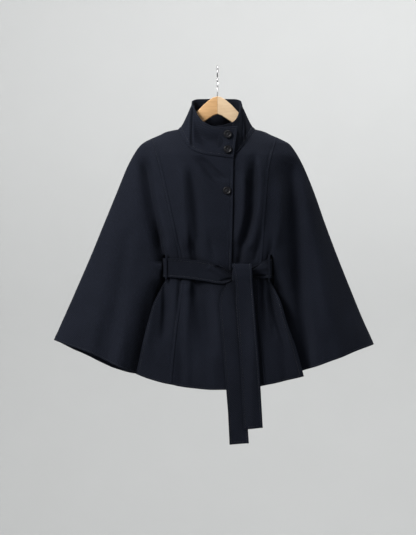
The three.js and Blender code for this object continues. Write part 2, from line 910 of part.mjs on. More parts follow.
// Knot: a soft squared lump under the front tail
const KNOT = { x: 65, y: -85, drop: 572, halfX: 27.5, halfY: 12, halfZ: 23.5, square: 0.62 };
{
  const rings = 7;
  const spokes = 14;
  const bent = (value) => Math.sign(value) * Math.abs(value) ** KNOT.square;
  const points = [KNOT.x, KNOT.y, -(KNOT.drop - KNOT.halfZ)];
  for (let j = 1; j < rings; j += 1) {
    const lean = (Math.PI * j) / rings;
    for (let i = 0; i < spokes; i += 1) {
      const turn = (2 * Math.PI * i) / spokes;
      points.push(
        KNOT.x + KNOT.halfX * bent(Math.sin(lean)) * bent(Math.cos(turn)),
        KNOT.y + KNOT.halfY * bent(Math.sin(lean)) * bent(Math.sin(turn)),
        -(KNOT.drop - KNOT.halfZ * bent(Math.cos(lean))),
      );
    }
  }
  points.push(KNOT.x, KNOT.y, -(KNOT.drop + KNOT.halfZ));
  const faces = [];
  const ring = (j, i) => 1 + (j - 1) * spokes + (i % spokes);
  const foot = points.length / 3 - 1;
  for (let i = 0; i < spokes; i += 1) {
    faces.push(0, ring(1, i), ring(1, i + 1));
    faces.push(foot, ring(rings - 1, i + 1), ring(rings - 1, i));
    for (let j = 1; j < rings - 1; j += 1) {
      faces.push(ring(j, i), ring(j + 1, i), ring(j + 1, i + 1));
      faces.push(ring(j, i), ring(j + 1, i + 1), ring(j, i + 1));
    }
  }
  addMesh('belt_knot', points, outwardFaces(points, faces), NAVY, 0.95);
}

// Belt loops at the slits
const LOOP = table('drop proud', [
  [516, 2.3],
  [520, 3.4],
  [524, 6.8],
  [552, 7],
  [581, 6.8],
  [585, 3.4],
  [590, 2.3],
]);
const LOOP_INNER = 136;
const LOOP_OUTER = 141;
const LOOP_HEART_DEPTH = 200;
for (const [name, worn] of [['belt_loop_r', -1], ['belt_loop_l', 1]]) {
  const lines = LOOP.drop.map((drop, k) =>
    [LOOP_INNER, LOOP_OUTER].map((x) => onFront(worn * x, drop, LOOP.proud[k])),
  );
  addRibbon(name, lines, new THREE.Vector3(worn * LOOP_INNER, LOOP_HEART_DEPTH, -BELT_DROP), LOOP_WALL);
}

// Solids cut or turned from plain shapes
const wasm = await Module();
wasm.setup();
const asSolid = (points, faces) =>
  new wasm.Manifold(
    new wasm.Mesh({
      numProp: 3,
      vertProperties: new Float32Array(points),
      triVerts: new Uint32Array(faces),
    }),
  );
function addSolid(name, solid, color, rough, metal) {
  const mesh = solid.getMesh();
  addMesh(name, Array.from(mesh.vertProperties), Array.from(mesh.triVerts), color, rough, metal);
}

// Buttons: a rim, a dished middle and four holes, each facing out from the cloth
const BUTTONS = table('x drop y', [
  [27, 192, -60.8],
  [27, 233, -62.6],
  [25, 345, -74.6],
]);
const HOLE_RADIUS = 1.1;
const HOLE_OFFSET = 2.2;
const BUTTON_PROFILE = table('radius rise', [
  [0, 0],
  [0.82, 0],
  [1, 0.45],
  [0.95, 0.85],
  [0.82, 1],
  [0.66, 0.7],
  [0, 0.62],
]);

function buttonSolid() {
  const spokes = 22;
  const last = BUTTON_PROFILE.radius.length - 1;
  const points = [0, 0, 0];
  for (let k = 1; k < last; k += 1) {
    const radius = BUTTON_RADIUS * BUTTON_PROFILE.radius[k];
    for (let i = 0; i < spokes; i += 1) {
      const turn = (2 * Math.PI * i) / spokes;
      const rise = BUTTON_THICK * BUTTON_PROFILE.rise[k];
      points.push(radius * Math.cos(turn), radius * Math.sin(turn), rise);
    }
  }
  points.push(0, 0, BUTTON_THICK * BUTTON_PROFILE.rise[last]);
  const ring = (k, i) => 1 + (k - 1) * spokes + (i % spokes);
  const crown = points.length / 3 - 1;
  const faces = [];
  for (let i = 0; i < spokes; i += 1) {
    faces.push(0, ring(1, i + 1), ring(1, i));
    faces.push(crown, ring(last - 1, i), ring(last - 1, i + 1));
    for (let k = 1; k < last - 1; k += 1) {
      faces.push(ring(k, i), ring(k, i + 1), ring(k + 1, i + 1));
      faces.push(ring(k, i), ring(k + 1, i + 1), ring(k + 1, i));
    }
  }
  let solid = asSolid(points, outwardFaces(points, faces));
  for (const [x, y] of [[1, 1], [1, -1], [-1, 1], [-1, -1]]) {
    const hole = wasm.Manifold.cylinder(BUTTON_THICK * 3, HOLE_RADIUS, HOLE_RADIUS, 8, true);
    solid = solid.subtract(hole.translate([x * HOLE_OFFSET, y * HOLE_OFFSET, 0]));
  }
  return solid;
}

BUTTONS.x.forEach((x, k) => {
  const placed = buttonSolid()
    .rotate([90, 0, 0])
    .translate([x, BUTTONS.y[k] - REST_GAP, -BUTTONS.drop[k]]);
  addSolid(`button_${k + 1}`, placed, HORN, 0.35, 0);
});

// Hanger: two mitred halves of rounded section, bored for the hook
const WOOD = table('out top bottom', [
  [0, 81, 130],
  [12, 84, 134],
  [24, 92, 142],
  [38, 104, 151],
  [52, 119, 163],
  [66, 134, 177],
  [76, 149, 188],
  [84, 162.5, 196],
  [92, 175, 203],
  [98, 181, 208],
  [106, 182.5, 212],
  [120, 185, 217],
  [142, 191, 223],
  [165, 200, 228],
  [184, 210, 233],
  [192, 216, 232],
  [196, 220, 229],
]);

const BORE_LENGTH = 42;
const BORE_SIDES = 12;
const WOOD_SOFTEN = 0.3;

function woodHalf(worn) {
  const half = WOOD_HALF;
  const points = [];
  WOOD.out.forEach((out, k) => {
    const x = worn * Math.max(out, HALF_GAP);
    const [top, bottom] = [-WOOD.top[k], -WOOD.bottom[k]];
    const cut = Math.min(WOOD_ROUND, (top - bottom) / 3);
    const soft = cut * WOOD_SOFTEN;
    points.push(x, cut - half, top, x, half - cut, top);
    points.push(x, half - soft, top - soft, x, half, top - cut);
    points.push(x, half, bottom + cut, x, half - soft, bottom + soft);
    points.push(x, half - cut, bottom, x, cut - half, bottom);
    points.push(x, soft - half, bottom + soft, x, -half, bottom + cut);
    points.push(x, -half, top - cut, x, soft - half, top - soft);
  });
  const sides = 12;
  const count = WOOD.out.length;
  const faces = [];
  for (let k = 0; k < count - 1; k += 1) {
    for (let i = 0; i < sides; i += 1) {
      const [a, b] = [k * sides + i, k * sides + ((i + 1) % sides)];
      faces.push(a, b, b + sides, a, b + sides, a + sides);
    }
  }
  for (let i = 1; i < sides - 1; i += 1) {
    faces.push(0, i + 1, i);
    const end = (count - 1) * sides;
    faces.push(end, end + i, end + i + 1);
  }
  const bore = wasm.Manifold.cylinder(BORE_LENGTH, BORE_RADIUS, BORE_RADIUS, BORE_SIDES)
    .translate([0, 0, -SHANK_BOTTOM - 1]);
  return asSolid(points, outwardFaces(points, faces)).subtract(bore);
}
addSolid('hanger_arm_r', woodHalf(-1), WOODEN, 0.5, 0);
addSolid('hanger_arm_l', woodHalf(1), WOODEN, 0.5, 0);

// Hook: one bent wire, its plane across the rail
{
  const radius = HOOK_RADIUS + WIRE_RADIUS;
  const bend = [
    [0, -SHANK_BOTTOM],
    [0, -84],
    [0, -66],
    [1.5, -57],
    [6, -49.5],
    [12.5, -43.5],
    [17.5, -37],
    [20, -29],
  ];
  for (let degrees = 0; degrees <= 200; degrees += 20) {
    const turn = (Math.PI * degrees) / 180;
    bend.push([radius * Math.cos(turn), -HOOK_RADIUS + radius * Math.sin(turn)]);
  }
  bend.push([-17.8, -32]);
  const sides = 8;
  const points = [];
  bend.forEach(([y, z], k) => {
    const before = bend[Math.max(k - 1, 0)];
    const after = bend[Math.min(k + 1, bend.length - 1)];
    const along = new THREE.Vector3(0, after[0] - before[0], after[1] - before[1]).normalize();
    const across = new THREE.Vector3(1, 0, 0);
    const up = along.clone().cross(across);
    for (let i = 0; i < sides; i += 1) {
      const turn = (2 * Math.PI * (i + 0.5)) / sides;
      const point = new THREE.Vector3(0, y, z)
        .addScaledVector(across, WIRE_RADIUS * Math.cos(turn))
        .addScaledVector(up, WIRE_RADIUS * Math.sin(turn));
      points.push(point.x, point.y, point.z);
    }
  });
  const faces = [];
  for (let k = 0; k < bend.length - 1; k += 1) {
    for (let i = 0; i < sides; i += 1) {
      const [a, b] = [k * sides + i, k * sides + ((i + 1) % sides)];
      faces.push(a, b, b + sides, a, b + sides, a + sides);
    }
  }
  const end = (bend.length - 1) * sides;
  for (let i = 1; i < sides - 1; i += 1) {
    faces.push(0, i + 1, i);
    faces.push(end, end + i, end + i + 1);
  }
  addMesh('hook', points, outwardFaces(points, faces), STEEL, 0.3, 1);
}

export default group;
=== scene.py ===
import math

import bmesh
import bpy
import numpy as np
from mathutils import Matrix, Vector


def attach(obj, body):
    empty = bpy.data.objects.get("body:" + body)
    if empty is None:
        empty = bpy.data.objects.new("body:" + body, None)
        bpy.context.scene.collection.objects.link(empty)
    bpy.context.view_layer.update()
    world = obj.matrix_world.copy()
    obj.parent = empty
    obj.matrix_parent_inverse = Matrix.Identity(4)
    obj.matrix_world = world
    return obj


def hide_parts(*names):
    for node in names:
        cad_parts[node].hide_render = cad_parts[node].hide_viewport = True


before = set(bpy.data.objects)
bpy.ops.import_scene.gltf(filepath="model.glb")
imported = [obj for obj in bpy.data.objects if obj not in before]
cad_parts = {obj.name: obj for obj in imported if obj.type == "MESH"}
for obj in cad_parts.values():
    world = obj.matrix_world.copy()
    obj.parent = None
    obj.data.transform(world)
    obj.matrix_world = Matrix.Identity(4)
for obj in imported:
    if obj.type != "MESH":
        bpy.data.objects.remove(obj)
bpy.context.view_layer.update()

# Wool cape coat on a wooden hanger
# Tables are in millimetres, meshes in metres; a drop is a distance below the hook's bearing point
# The front faces -Y and +X is the wearer's left
MM = 0.001
WOOL = 2.5
COLLAR_WALL = 3.5
BELT_WALL = 3.0
LAP_STEP = 3.6
SEAM_GAP = 0.3
SLIT_DROP = 515
BELT_DROP = 552
SHOULDER_DROP = 244
CORNER_DROP_RIGHT = 750
CORNER_DROP_LEFT = 762
OVER_ARM_WAIST = 490
EDGE_ROUND = 1.15
SEAM_ROUND = 0.5
WELT = 7.5
EDGE_STITCH = 6.5
BELT_STITCH = 6.0
HEM_INSET = 5.0


def table(names, rows):
    columns = zip(*rows)
    return {name: np.array(column, float) for name, column in zip(names.split(), columns)}


def mix(a, b, t):
    return a + (b - a) * t


def ease(t):
    t = np.clip(t, 0, 1)
    return t * t * (3 - 2 * t)


def bell(distance, width):
    return np.exp(-((distance / width) ** 2))


def cubic(keys, values, slope, at):
    """Cubic curve through the rows with a given slope at each."""
    i = np.clip(np.searchsorted(keys, at, side="right") - 1, 0, len(keys) - 2)
    span = keys[i + 1] - keys[i]
    t = (at - keys[i]) / span
    a, b = slope[i] * span, slope[i + 1] * span
    gap = values[i + 1] - values[i]
    return values[i] + t * (a + t * (3 * gap - 2 * a - b + t * (a + b - 2 * gap)))


def curve(keys, values, at):
    """Smooth curve through the rows that never overshoots them."""
    keys, values = np.asarray(keys, float), np.asarray(values, float)
    rise = np.diff(values) / np.diff(keys)
    before, after = rise[:-1], rise[1:]
    total = before + after
    total = np.where(total == 0, 1, total)
    inner = np.where(before * after <= 0, 0, 2 * before * after / total)
    slope = np.concatenate([rise[:1], inner, rise[-1:]])
    return cubic(keys, values, slope, np.clip(at, keys[0], keys[-1]))


def on_path(path, names, part):
    """Columns of the path's table at a part of its length."""
    columns = [path[name] for name in names.split()]
    run = np.concatenate([[0], np.cumsum(np.sqrt(sum(np.diff(c) ** 2 for c in columns)))])
    return [curve(run, c, np.asarray(part) * run[-1]) for c in columns]


# Outline, fullness and large folds: those of the solids, apart from one ridge of the front that
# is left out and one trough that is shallower
OUTLINE = table("drop right left", [
    [172, -110, 106], [175, -126, 118], [179, -142, 131], [187, -158, 147],
    [195, -177, 166], [203, -194, 183], [211, -207, 197], [220, -216, 205],
    [236, -227, 216], [255, -238, 227], [277, -249, 238], [343, -276, 265],
    [431, -312, 296], [519, -348, 329], [607, -386, 364], [695, -425, 400],
    [750, -450, 425], [762, -456, 430], [900, -518, 490],
])
FULLNESS = table("drop front back", [
    [172, 10, 46], [180, 22, 52], [200, 36, 60], [228, 52, 68], [250, 62, 73],
    [300, 70, 78], [380, 76, 82], [450, 76, 84], [520, 73, 85], [550, 72, 85],
    [590, 74, 87], [650, 84, 91], [750, 96, 97], [860, 106, 103], [1000, 110, 107],
])
ROUNDNESS = 2.2
FLATNESS = 0.62
FOLDS = "x1 drop1 x2 drop2 x3 drop3 height width"
FRONT_FOLDS = table(FOLDS, [
    [-96, 262, -82, 370, -69, 545, 6, 17],
    [-74, 268, -60, 370, -47, 545, -5, 13],
    [96, 262, 92, 380, 60, 545, -8, 15],
    [68, 280, 66, 390, 44, 545, 5, 15],
    [-52, 256, -22, 300, 20, 345, -4, 9],
    [-214, 236, -165, 340, -134, 520, -8, 17],
    [212, 240, 214, 440, 250, 900, -10, 20],
    [-126, 560, -134, 640, -146, 760, -5, 12],
    [-34, 572, -24, 670, -10, 800, -5, 15],
    [-92, 570, -96, 700, -98, 900, -5, 15],
    [126, 560, 140, 660, 150, 760, -6, 13],
    [100, 580, 96, 700, 90, 900, 5, 16],
    [-262, 300, -300, 520, -352, 830, 6, 30],
    [-232, 420, -262, 600, -300, 840, -5, 20],
    [262, 330, 296, 540, 336, 830, 6, 28],
    [250, 470, 262, 620, 282, 840, -4, 16],
])
BACK_FOLDS = table(FOLDS, [
    [-150, 250, -190, 520, -240, 900, -8, 26],
    [-96, 330, -120, 600, -150, 900, 7, 26],
    [-40, 420, -46, 640, -56, 900, -6, 20],
    [14, 300, 18, 580, 24, 900, 7, 26],
    [70, 380, 84, 620, 104, 900, -7, 22],
    [130, 300, 164, 560, 204, 900, 7, 26],
    [190, 270, 232, 540, 292, 900, -7, 24],
    [-252, 380, -290, 580, -340, 880, 6, 26],
])
# Finer creases, only here: troughs and ridges along lines of three points, with a width to
# each side and the lengths over which they begin and end
CREASES = FOLDS.replace("width", "wide_right wide_left begin end")
FRONT_CREASES = table(CREASES, [
    [-205, 228, -178, 370, -142, 546, -17, 22, 11, 70, 10],
    [-168, 400, -154, 480, -138, 548, -9, 13, 6, 90, 10],
    [-216, 262, -230, 400, -262, 660, 5, 30, 34, 70, 160],
    [-176, 300, -152, 400, -122, 520, 5, 9, 12, 70, 60],
    [-98, 246, -94, 380, -76, 524, 3, 26, 12, 110, 40],
    [-80, 240, -75, 390, -62, 548, -2.2, 12, 30, 200, 10],
    [-76, 410, -69, 500, -62, 548, -6, 7, 14, 100, 10],
    [-66, 470, -60, 505, -55, 545, -5, 5, 12, 40, 10],
    [-112, 430, -106, 480, -98, 540, -3, 6, 6, 50, 14],
    [-24, 440, -18, 490, -10, 540, -2.5, 8, 10, 60, 14],
    [96, 222, 97, 340, 60, 548, -3, 14, 9, 60, 10],
    [76, 430, 66, 500, 59, 548, -5.5, 9, 7, 60, 10],
    [116, 236, 112, 370, 74, 525, 7, 9, 20, 60, 40],
    [103, 232, 102, 300, 97, 370, -3, 8, 6, 40, 60],
    [70, 290, 72, 380, 46, 500, 3, 16, 9, 60, 60],
    [122, 430, 112, 480, 98, 540, -4, 8, 8, 60, 14],
    [150, 440, 146, 490, 134, 540, -4, 9, 7, 70, 14],
    [192, 236, 212, 430, 246, 830, -15, 32, 26, 60, 120],
    [170, 290, 172, 380, 152, 520, 5, 18, 12, 70, 60],
    [226, 270, 262, 440, 316, 760, 6, 22, 34, 80, 120],
    [-146, 556, -143, 640, -150, 780, -7, 7, 12, 8, 160],
    [-166, 600, -178, 680, -196, 800, 4, 10, 12, 40, 90],
    [-100, 566, -103, 620, -108, 710, -5, 6, 6, 8, 110],
    [-80, 580, -84, 670, -94, 820, 7, 18, 14, 24, 130],
    [-68, 556, -65, 600, -60, 670, -8, 6, 22, 8, 80],
    [-58, 566, -46, 680, -24, 840, -9, 20, 34, 60, 160],
    [-12, 590, -4, 690, 4, 860, 4, 18, 22, 60, 100],
    [134, 566, 156, 680, 190, 800, -10, 8, 10, 8, 130],
    [148, 590, 176, 690, 208, 800, 4, 9, 10, 40, 80],
    [112, 566, 119, 650, 132, 760, -6, 7, 9, 8, 120],
    [122, 590, 134, 670, 152, 770, 3, 8, 9, 40, 90],
    [-52, 246, -14, 285, 26, 324, -8, 22, 10, 24, 20],
    [-70, 262, -36, 318, 4, 362, 3, 14, 16, 40, 40],
    [24, 262, 54, 296, 86, 330, 2.5, 12, 12, 24, 24],
    [-306, 420, -338, 560, -384, 730, -4, 22, 26, 140, 100],
    [-344, 560, -372, 680, -408, 790, 3, 18, 20, 90, 60],
    [296, 420, 334, 560, 378, 740, -4, 26, 22, 140, 100],
    [346, 560, 370, 680, 398, 790, 3, 18, 20, 90, 60],
    [-290, 640, -308, 740, -328, 840, -5, 20, 24, 90, 30],
    [-246, 690, -258, 770, -270, 870, 4, 16, 18, 80, 30],
    [286, 660, 300, 750, 316, 850, -4, 20, 22, 90, 30],
    [-18, 700, -14, 780, -10, 900, 2, 15, 15, 60, 20],
    [-66, 720, -66, 800, -70, 900, -3, 13, 16, 70, 20],
    [168, 740, 176, 800, 186, 900, -2.5, 13, 13, 60, 20],
])
BACK_CREASES = table(CREASES, [
    [-180, 240, -206, 420, -240, 700, 4, 14, 20, 60, 160],
    [-120, 260, -150, 420, -196, 760, -4, 16, 12, 60, 160],
    [-66, 300, -78, 480, -92, 760, 3, 12, 14, 80, 160],
    [-10, 360, -12, 560, -16, 820, -3, 10, 14, 90, 160],
    [46, 300, 52, 460, 62, 720, -3.4, 14, 10, 80, 140],
    [104, 280, 122, 460, 150, 760, 4, 12, 16, 80, 160],
    [160, 250, 190, 430, 236, 740, -4.2, 12, 16, 60, 160],
    [222, 330, 256, 520, 310, 780, 4, 16, 18, 90, 140],
    [-300, 420, -330, 560, -376, 760, -4, 18, 22, 120, 100],
    [-210, 560, -236, 680, -266, 870, -3, 12, 16, 90, 40],
    [40, 620, 46, 720, 52, 900, -3, 14, 10, 90, 40],
    [-52, 590, -60, 700, -72, 870, -3, 9, 14, 12, 140],
    [84, 590, 96, 700, 116, 850, -4, 12, 9, 12, 140],
    [-118, 440, -112, 490, -108, 545, -4, 8, 12, 90, 12],
    [66, 450, 62, 500, 60, 545, -4, 12, 8, 90, 12],
    [136, 460, 132, 500, 130, 545, -3, 8, 9, 70, 12],
])
FOLD_FADE = 46
BELT_CALM = 47
BELT_REACH = 42
CREASE_CALM = 30
CREASE_REACH = 34
VALLEY_UNDER_BELT = 0.85


BODY_HALF = 160


def beyond_belt(x):
    """The belt holds the body flat, not the sleeves beside it."""
    return ease((np.abs(x) - BODY_HALF) / 60)


def rows_of(columns):
    """Each row of a table, by the names of its columns."""
    return [dict(zip(columns, row)) for row in zip(*columns.values())]


def middle_of(line, drop):
    """Where a fold's line of three points lies at a level, and its first and last level."""
    drops = [line["drop1"], line["drop2"], line["drop3"]]
    return curve(drops, [line["x1"], line["x2"], line["x3"]], drop), drops[0], drops[2]


def fold_height(folds, x, drop):
    """Large folds, flat under the belt."""
    total = np.zeros_like(x)
    for fold in rows_of(folds):
        middle, first, last = middle_of(fold, drop)
        inside = ease((drop - first) / FOLD_FADE) * ease((last - drop) / FOLD_FADE)
        total += fold["height"] * inside * bell(x - middle, fold["width"])
    calm = ease((np.abs(drop - BELT_DROP) - BELT_CALM) / BELT_REACH)
    return total * mix(calm, 1, beyond_belt(x))


def crease_depth(creases, x, drop):
    """Creases; ridges flatten under the belt and troughs run on beneath it."""
    total = np.zeros_like(x)
    free = mix(ease((np.abs(drop - BELT_DROP) - CREASE_CALM) / CREASE_REACH), 1, beyond_belt(x))
    for crease in rows_of(creases):
        middle, first, last = middle_of(crease, drop)
        inside = ease((drop - first) / crease["begin"]) * ease((last - drop) / crease["end"])
        wide = np.where(x < middle, crease["wide_right"], crease["wide_left"])
        calm = free if crease["height"] > 0 else mix(VALLEY_UNDER_BELT, 1, free)
        total += crease["height"] * inside * calm * bell(x - middle, wide)
    return total


def height(side, x, drop, extra=None, fine=True):
    """Depth of the coat's outer face; the side is -1 before and 1 behind."""
    x, drop = np.broadcast_arrays(np.asarray(x, float), np.asarray(drop, float))
    right = curve(OUTLINE["drop"], OUTLINE["right"], drop)
    left = curve(OUTLINE["drop"], OUTLINE["left"], drop)
    full = curve(FULLNESS["drop"], FULLNESS["front" if side < 0 else "back"], drop)
    q = np.minimum(1, np.abs(x - (left + right) / 2) * 2 / (left - right))
    folds, creases = (FRONT_FOLDS, FRONT_CREASES) if side < 0 else (BACK_FOLDS, BACK_CREASES)
    out = fold_height(folds, x, drop)
    if fine:
        out = out + crease_depth(creases, x, drop)
    if extra is not None:
        out = out + extra(x, drop)
    bulge = np.maximum(0, 1 - q ** ROUNDNESS) ** FLATNESS
    y = side * (full * bulge + out * (1 - q ** 8))
    return np.where(q > 0.9995, side * SEAM_GAP / 2, y)


# Seams and edges
RIGHT_PRINCESS = table("drop x", [
    [193, -172.5], [287, -148], [372, -129], [488, -104], [520, -97],
    [581, -92], [651, -99], [720, -108], [811, -117], [863, -121],
])
LEFT_PRINCESS = table("drop x", [
    [194, 164], [286, 140], [358, 133], [437, 127], [518, 122],
    [585, 112], [665, 110], [758, 119], [864, 128],
])
RIGHT_SLIT = table("drop x", [
    [206, -199], [284, -186], [356, -176], [435, -166], [494, -155], [515, -147],
])
LEFT_SLIT = table("drop x", [
    [208, 192], [284, 180], [356, 170], [435, 159], [494, 152], [515, 146],
])
RIGHT_FREE_EDGE = table("drop x", [
    [515, -147], [525, -138], [552, -136], [580, -137], [592, -144],
    [609, -153], [646, -171], [692, -185], [743, -198], [835, -217],
])
LEFT_FREE_EDGE = table("drop x", [
    [515, 146], [525, 138], [552, 136], [580, 137], [592, 143],
    [642, 168], [702, 186], [766, 209], [842, 230],
])
RIGHT_HIDDEN_EDGE = table("drop x", [
    [515, -147], [530, -150], [590, -152], [640, -154], [700, -166], [760, -182], [846, -198],
])
LEFT_HIDDEN_EDGE = table("drop x", [
    [515, 146], [530, 150], [590, 152], [640, 154], [700, 168], [760, 188], [838, 208],
])
RIGHT_FRONT_EDGE = table("drop x", [
    [258, 43], [303, 42], [384, 41], [526, 38], [700, 36], [876, 34],
])
LEFT_FRONT_EDGE = table("drop x", [[256, 0], [526, -3], [871, -6]])
RIGHT_BACK_SEAM = table("drop x", [
    [206, -199], [284, -187], [400, -176], [515, -172], [640, -177], [760, -189], [853, -204],
])
LEFT_BACK_SEAM = table("drop x", [
    [208, 192], [284, 181], [400, 172], [515, 168], [640, 175], [760, 188], [845, 204],
])
RIGHT_NECK = table("x drop", [
    [-110, 172], [-103, 186], [-88, 213], [-67, 235], [-40, 246], [-5, 252], [43, 258],
])
LEFT_NECK = table("x drop", [
    [106, 172], [100, 178], [91, 192], [76, 215], [53, 241], [30, 252], [0, 256],
])
BACK_NECK = table("x drop", [
    [-110, 172], [-60, 172.6], [0, 173], [60, 172.6], [106, 172],
])
RIGHT_FRONT_HEM = table("x drop", [
    [-121, 863], [-100, 868], [-58, 873], [-16, 876], [34, 876],
])
LEFT_FRONT_HEM = table("x drop", [
    [128, 864], [112, 867], [69, 872], [27, 872.5], [-6, 871],
])
RIGHT_SIDE_HEM = table("x drop", [[-217, 835], [-186, 847], [-143, 859], [-121, 863]])
LEFT_SIDE_HEM = table("x drop", [[230, 842], [198, 849], [155, 859], [128, 864]])
RIGHT_SLEEVE_HEM = table("x drop", [
    [-450, 750], [-386, 768], [-348, 780], [-297, 803], [-223, 836], [-198, 846],
])
LEFT_SLEEVE_HEM = table("x drop", [
    [430, 762], [378, 777], [332, 794], [288, 809], [244, 825], [208, 838],
])
BACK_HEM = table("x drop", [
    [-204, 853], [-150, 862], [-60, 870], [20, 871], [100, 866], [204, 845],
])
RIGHT_BACK_SLEEVE_HEM = table("x drop", [
    [-450, 750], [-408, 776], [-368, 796], [-327, 819], [-286, 837], [-231, 851], [-204, 853],
])
LEFT_BACK_SLEEVE_HEM = table("x drop", [
    [430, 762], [375, 780], [320, 801], [260, 825], [204, 845],
])


# Cloth that stands out from, or lies back of, the common face
BEHIND_DEPTH = 34
BEHIND_REACH = 72


def underlap(x, drop):
    return -LAP_STEP * ease((75 - x) / 25)


def behind(edge, worn):
    def lie(x, drop):
        outward = (x - curve(edge["drop"], edge["x"], drop)) * worn
        near = np.clip(1 - outward / BEHIND_REACH, 0, 1.15)
        return -BEHIND_DEPTH * ease((drop - 520) / 110) * near ** 2
    return lie


def flare(edge, worn):
    def lie(x, drop):
        inward = (curve(edge["drop"], edge["x"], drop) - x) * worn
        return 4 * ease((drop - 590) / 90) * (1 - ease(inward / 45))
    return lie


def welted(seam, toward, base=None):
    """Raised welt between a seam and the stitched groove beside it."""
    def lie(x, drop):
        d = (x - curve(seam["drop"], seam["x"], drop)) * toward
        low = base(x, drop) if base else 0
        rise = 1.0 * ease(d / 1.5) * (1 - ease((d - WELT + 1.5) / 2.5))
        return low + np.where(d > -0.5, rise - 1.7 * bell(d - WELT, 1.4), 0)
    return lie


def edge_stitched(edge, toward, base=None):
    """Stitched groove beside a free edge, whose cloth is a little fuller outside it."""
    def lie(x, drop):
        d = (x - curve(edge["drop"], edge["x"], drop)) * toward
        low = base(x, drop) if base else 0
        rim = 0.7 * (1 - ease((d - EDGE_STITCH + 1.5) / 2)) * (d > -0.5)
        return low + rim - 1.0 * bell(d - EDGE_STITCH, 1.2)
    return lie


# Materials
def new_material(name):
    material = bpy.data.materials.new(name)
    material.use_nodes = True
    tree = material.node_tree
    tree.nodes.clear()
    output = tree.nodes.new("ShaderNodeOutputMaterial")
    shader = tree.nodes.new("ShaderNodeBsdfPrincipled")
    tree.links.new(shader.outputs["BSDF"], output.inputs["Surface"])
    return material, tree, shader


def ramp_of(tree, factor, low, high, start, end):
    ramp = tree.nodes.new("ShaderNodeValToRGB")
    ramp.color_ramp.elements[0].position = start
    ramp.color_ramp.elements[0].color = (*low, 1)
    ramp.color_ramp.elements[1].position = end
    ramp.color_ramp.elements[1].color = (*high, 1)
    tree.links.new(factor, ramp.inputs["Fac"])
    return ramp.outputs["Color"]


def noise_of(tree, vector, scale, detail=3.0, rough=0.55):
    noise = tree.nodes.new("ShaderNodeTexNoise")
    noise.inputs["Scale"].default_value = scale
    noise.inputs["Detail"].default_value = detail
    noise.inputs["Roughness"].default_value = rough
    tree.links.new(vector, noise.inputs["Vector"])
    return noise.outputs["Fac"]


def fold_shade_mask_of(tree, reach):
    """How much nearby cloth closes a place in, the mask of the shade painted in folds: 0 in the
    open, towards 1 in a deep fold.
    """
    node = tree.nodes.new("ShaderNodeAmbientOcclusion")
    node.samples = 8
    node.inputs["Distance"].default_value = reach
    return scaled(tree, node.outputs["AO"], -1, 1)


def scaled(tree, value, gain, shift=0.0):
    node = tree.nodes.new("ShaderNodeMath")
    node.operation = "MULTIPLY_ADD"
    tree.links.new(value, node.inputs[0])
    node.inputs[1].default_value = gain
    node.inputs[2].default_value = shift
    return node.outputs["Value"]


def added(tree, a, b):
    node = tree.nodes.new("ShaderNodeMath")
    node.operation = "ADD"
    tree.links.new(a, node.inputs[0])
    tree.links.new(b, node.inputs[1])
    return node.outputs["Value"]


def bumped(tree, height_value, strength, distance, under=None):
    bump = tree.nodes.new("ShaderNodeBump")
    bump.inputs["Strength"].default_value = strength
    bump.inputs["Distance"].default_value = distance
    tree.links.new(height_value, bump.inputs["Height"])
    if under is not None:
        tree.links.new(under, bump.inputs["Normal"])
    return bump.outputs["Normal"]


def turned(tree, vector, turn=(0, 0, 0), stretch=(1, 1, 1)):
    node = tree.nodes.new("ShaderNodeMapping")
    node.inputs["Rotation"].default_value = turn
    node.inputs["Scale"].default_value = stretch
    tree.links.new(vector, node.inputs["Vector"])
    return node.outputs["Vector"]


def position_of(tree):
    return tree.nodes.new("ShaderNodeNewGeometry").outputs["Position"]


def wool_material(name, dark, light, twill):
    """Brushed wool: a fine diagonal twill under a short felted nap, slightly uneven.

    Shade is painted into the colour in the depth of folds and seams, darker where nearby cloth
    closes a place in.
    """
    material, tree, shader = new_material(name)
    uv = tree.nodes.new("ShaderNodeUVMap")
    uv.uv_map = "Cloth"
    vector = uv.outputs["UV"]
    wave = tree.nodes.new("ShaderNodeTexWave")
    wave.inputs["Scale"].default_value = 84
    wave.inputs["Distortion"].default_value = 2.6
    wave.inputs["Detail"].default_value = 2
    wave.inputs["Detail Scale"].default_value = 2.6
    tree.links.new(turned(tree, vector, (0, 0, math.radians(56))), wave.inputs["Vector"])
    nap = noise_of(tree, vector, 900, 4, 0.62)
    fleck = noise_of(tree, vector, 320, 3, 0.6)
    cloud = noise_of(tree, vector, 9, 3, 0.5)
    mixed = added(tree, scaled(tree, wave.outputs["Fac"], 0.4 * twill),
                  scaled(tree, fleck, 0.6))
    mixed = added(tree, mixed, scaled(tree, cloud, 0.3))
    # painted shade: the colour darkens with how closely nearby cloth closes a place in
    mixed = added(tree, mixed, scaled(tree, fold_shade_mask_of(tree, FOLD_PAINTED_SHADE_REACH), -FOLD_PAINTED_SHADE))
    ramp = ramp_of(tree, mixed, dark, light, 0.42, 0.9)
    # darkest stop of the ramp: mostly the painted shade in folds and seams, also the darkest
    # random flecks of the wool
    deep = ramp.node.color_ramp.elements.new(0.0)
    deep.color = (*(0.2 * c for c in dark), 1)
    tree.links.new(ramp, shader.inputs["Base Color"])
    tree.links.new(scaled(tree, nap, 0.16, 0.76), shader.inputs["Roughness"])
    shader.inputs["Specular IOR Level"].default_value = 0.07
    shader.inputs["Sheen Weight"].default_value = 0.035
    shader.inputs["Sheen Roughness"].default_value = 0.45
    shader.inputs["Sheen Tint"].default_value = (0.5, 0.6, 0.85, 1)
    first = bumped(tree, wave.outputs["Fac"], 0.7 * twill, 0.0008)
    tree.links.new(bumped(tree, nap, 0.5, 0.0004, first), shader.inputs["Normal"])
    return material


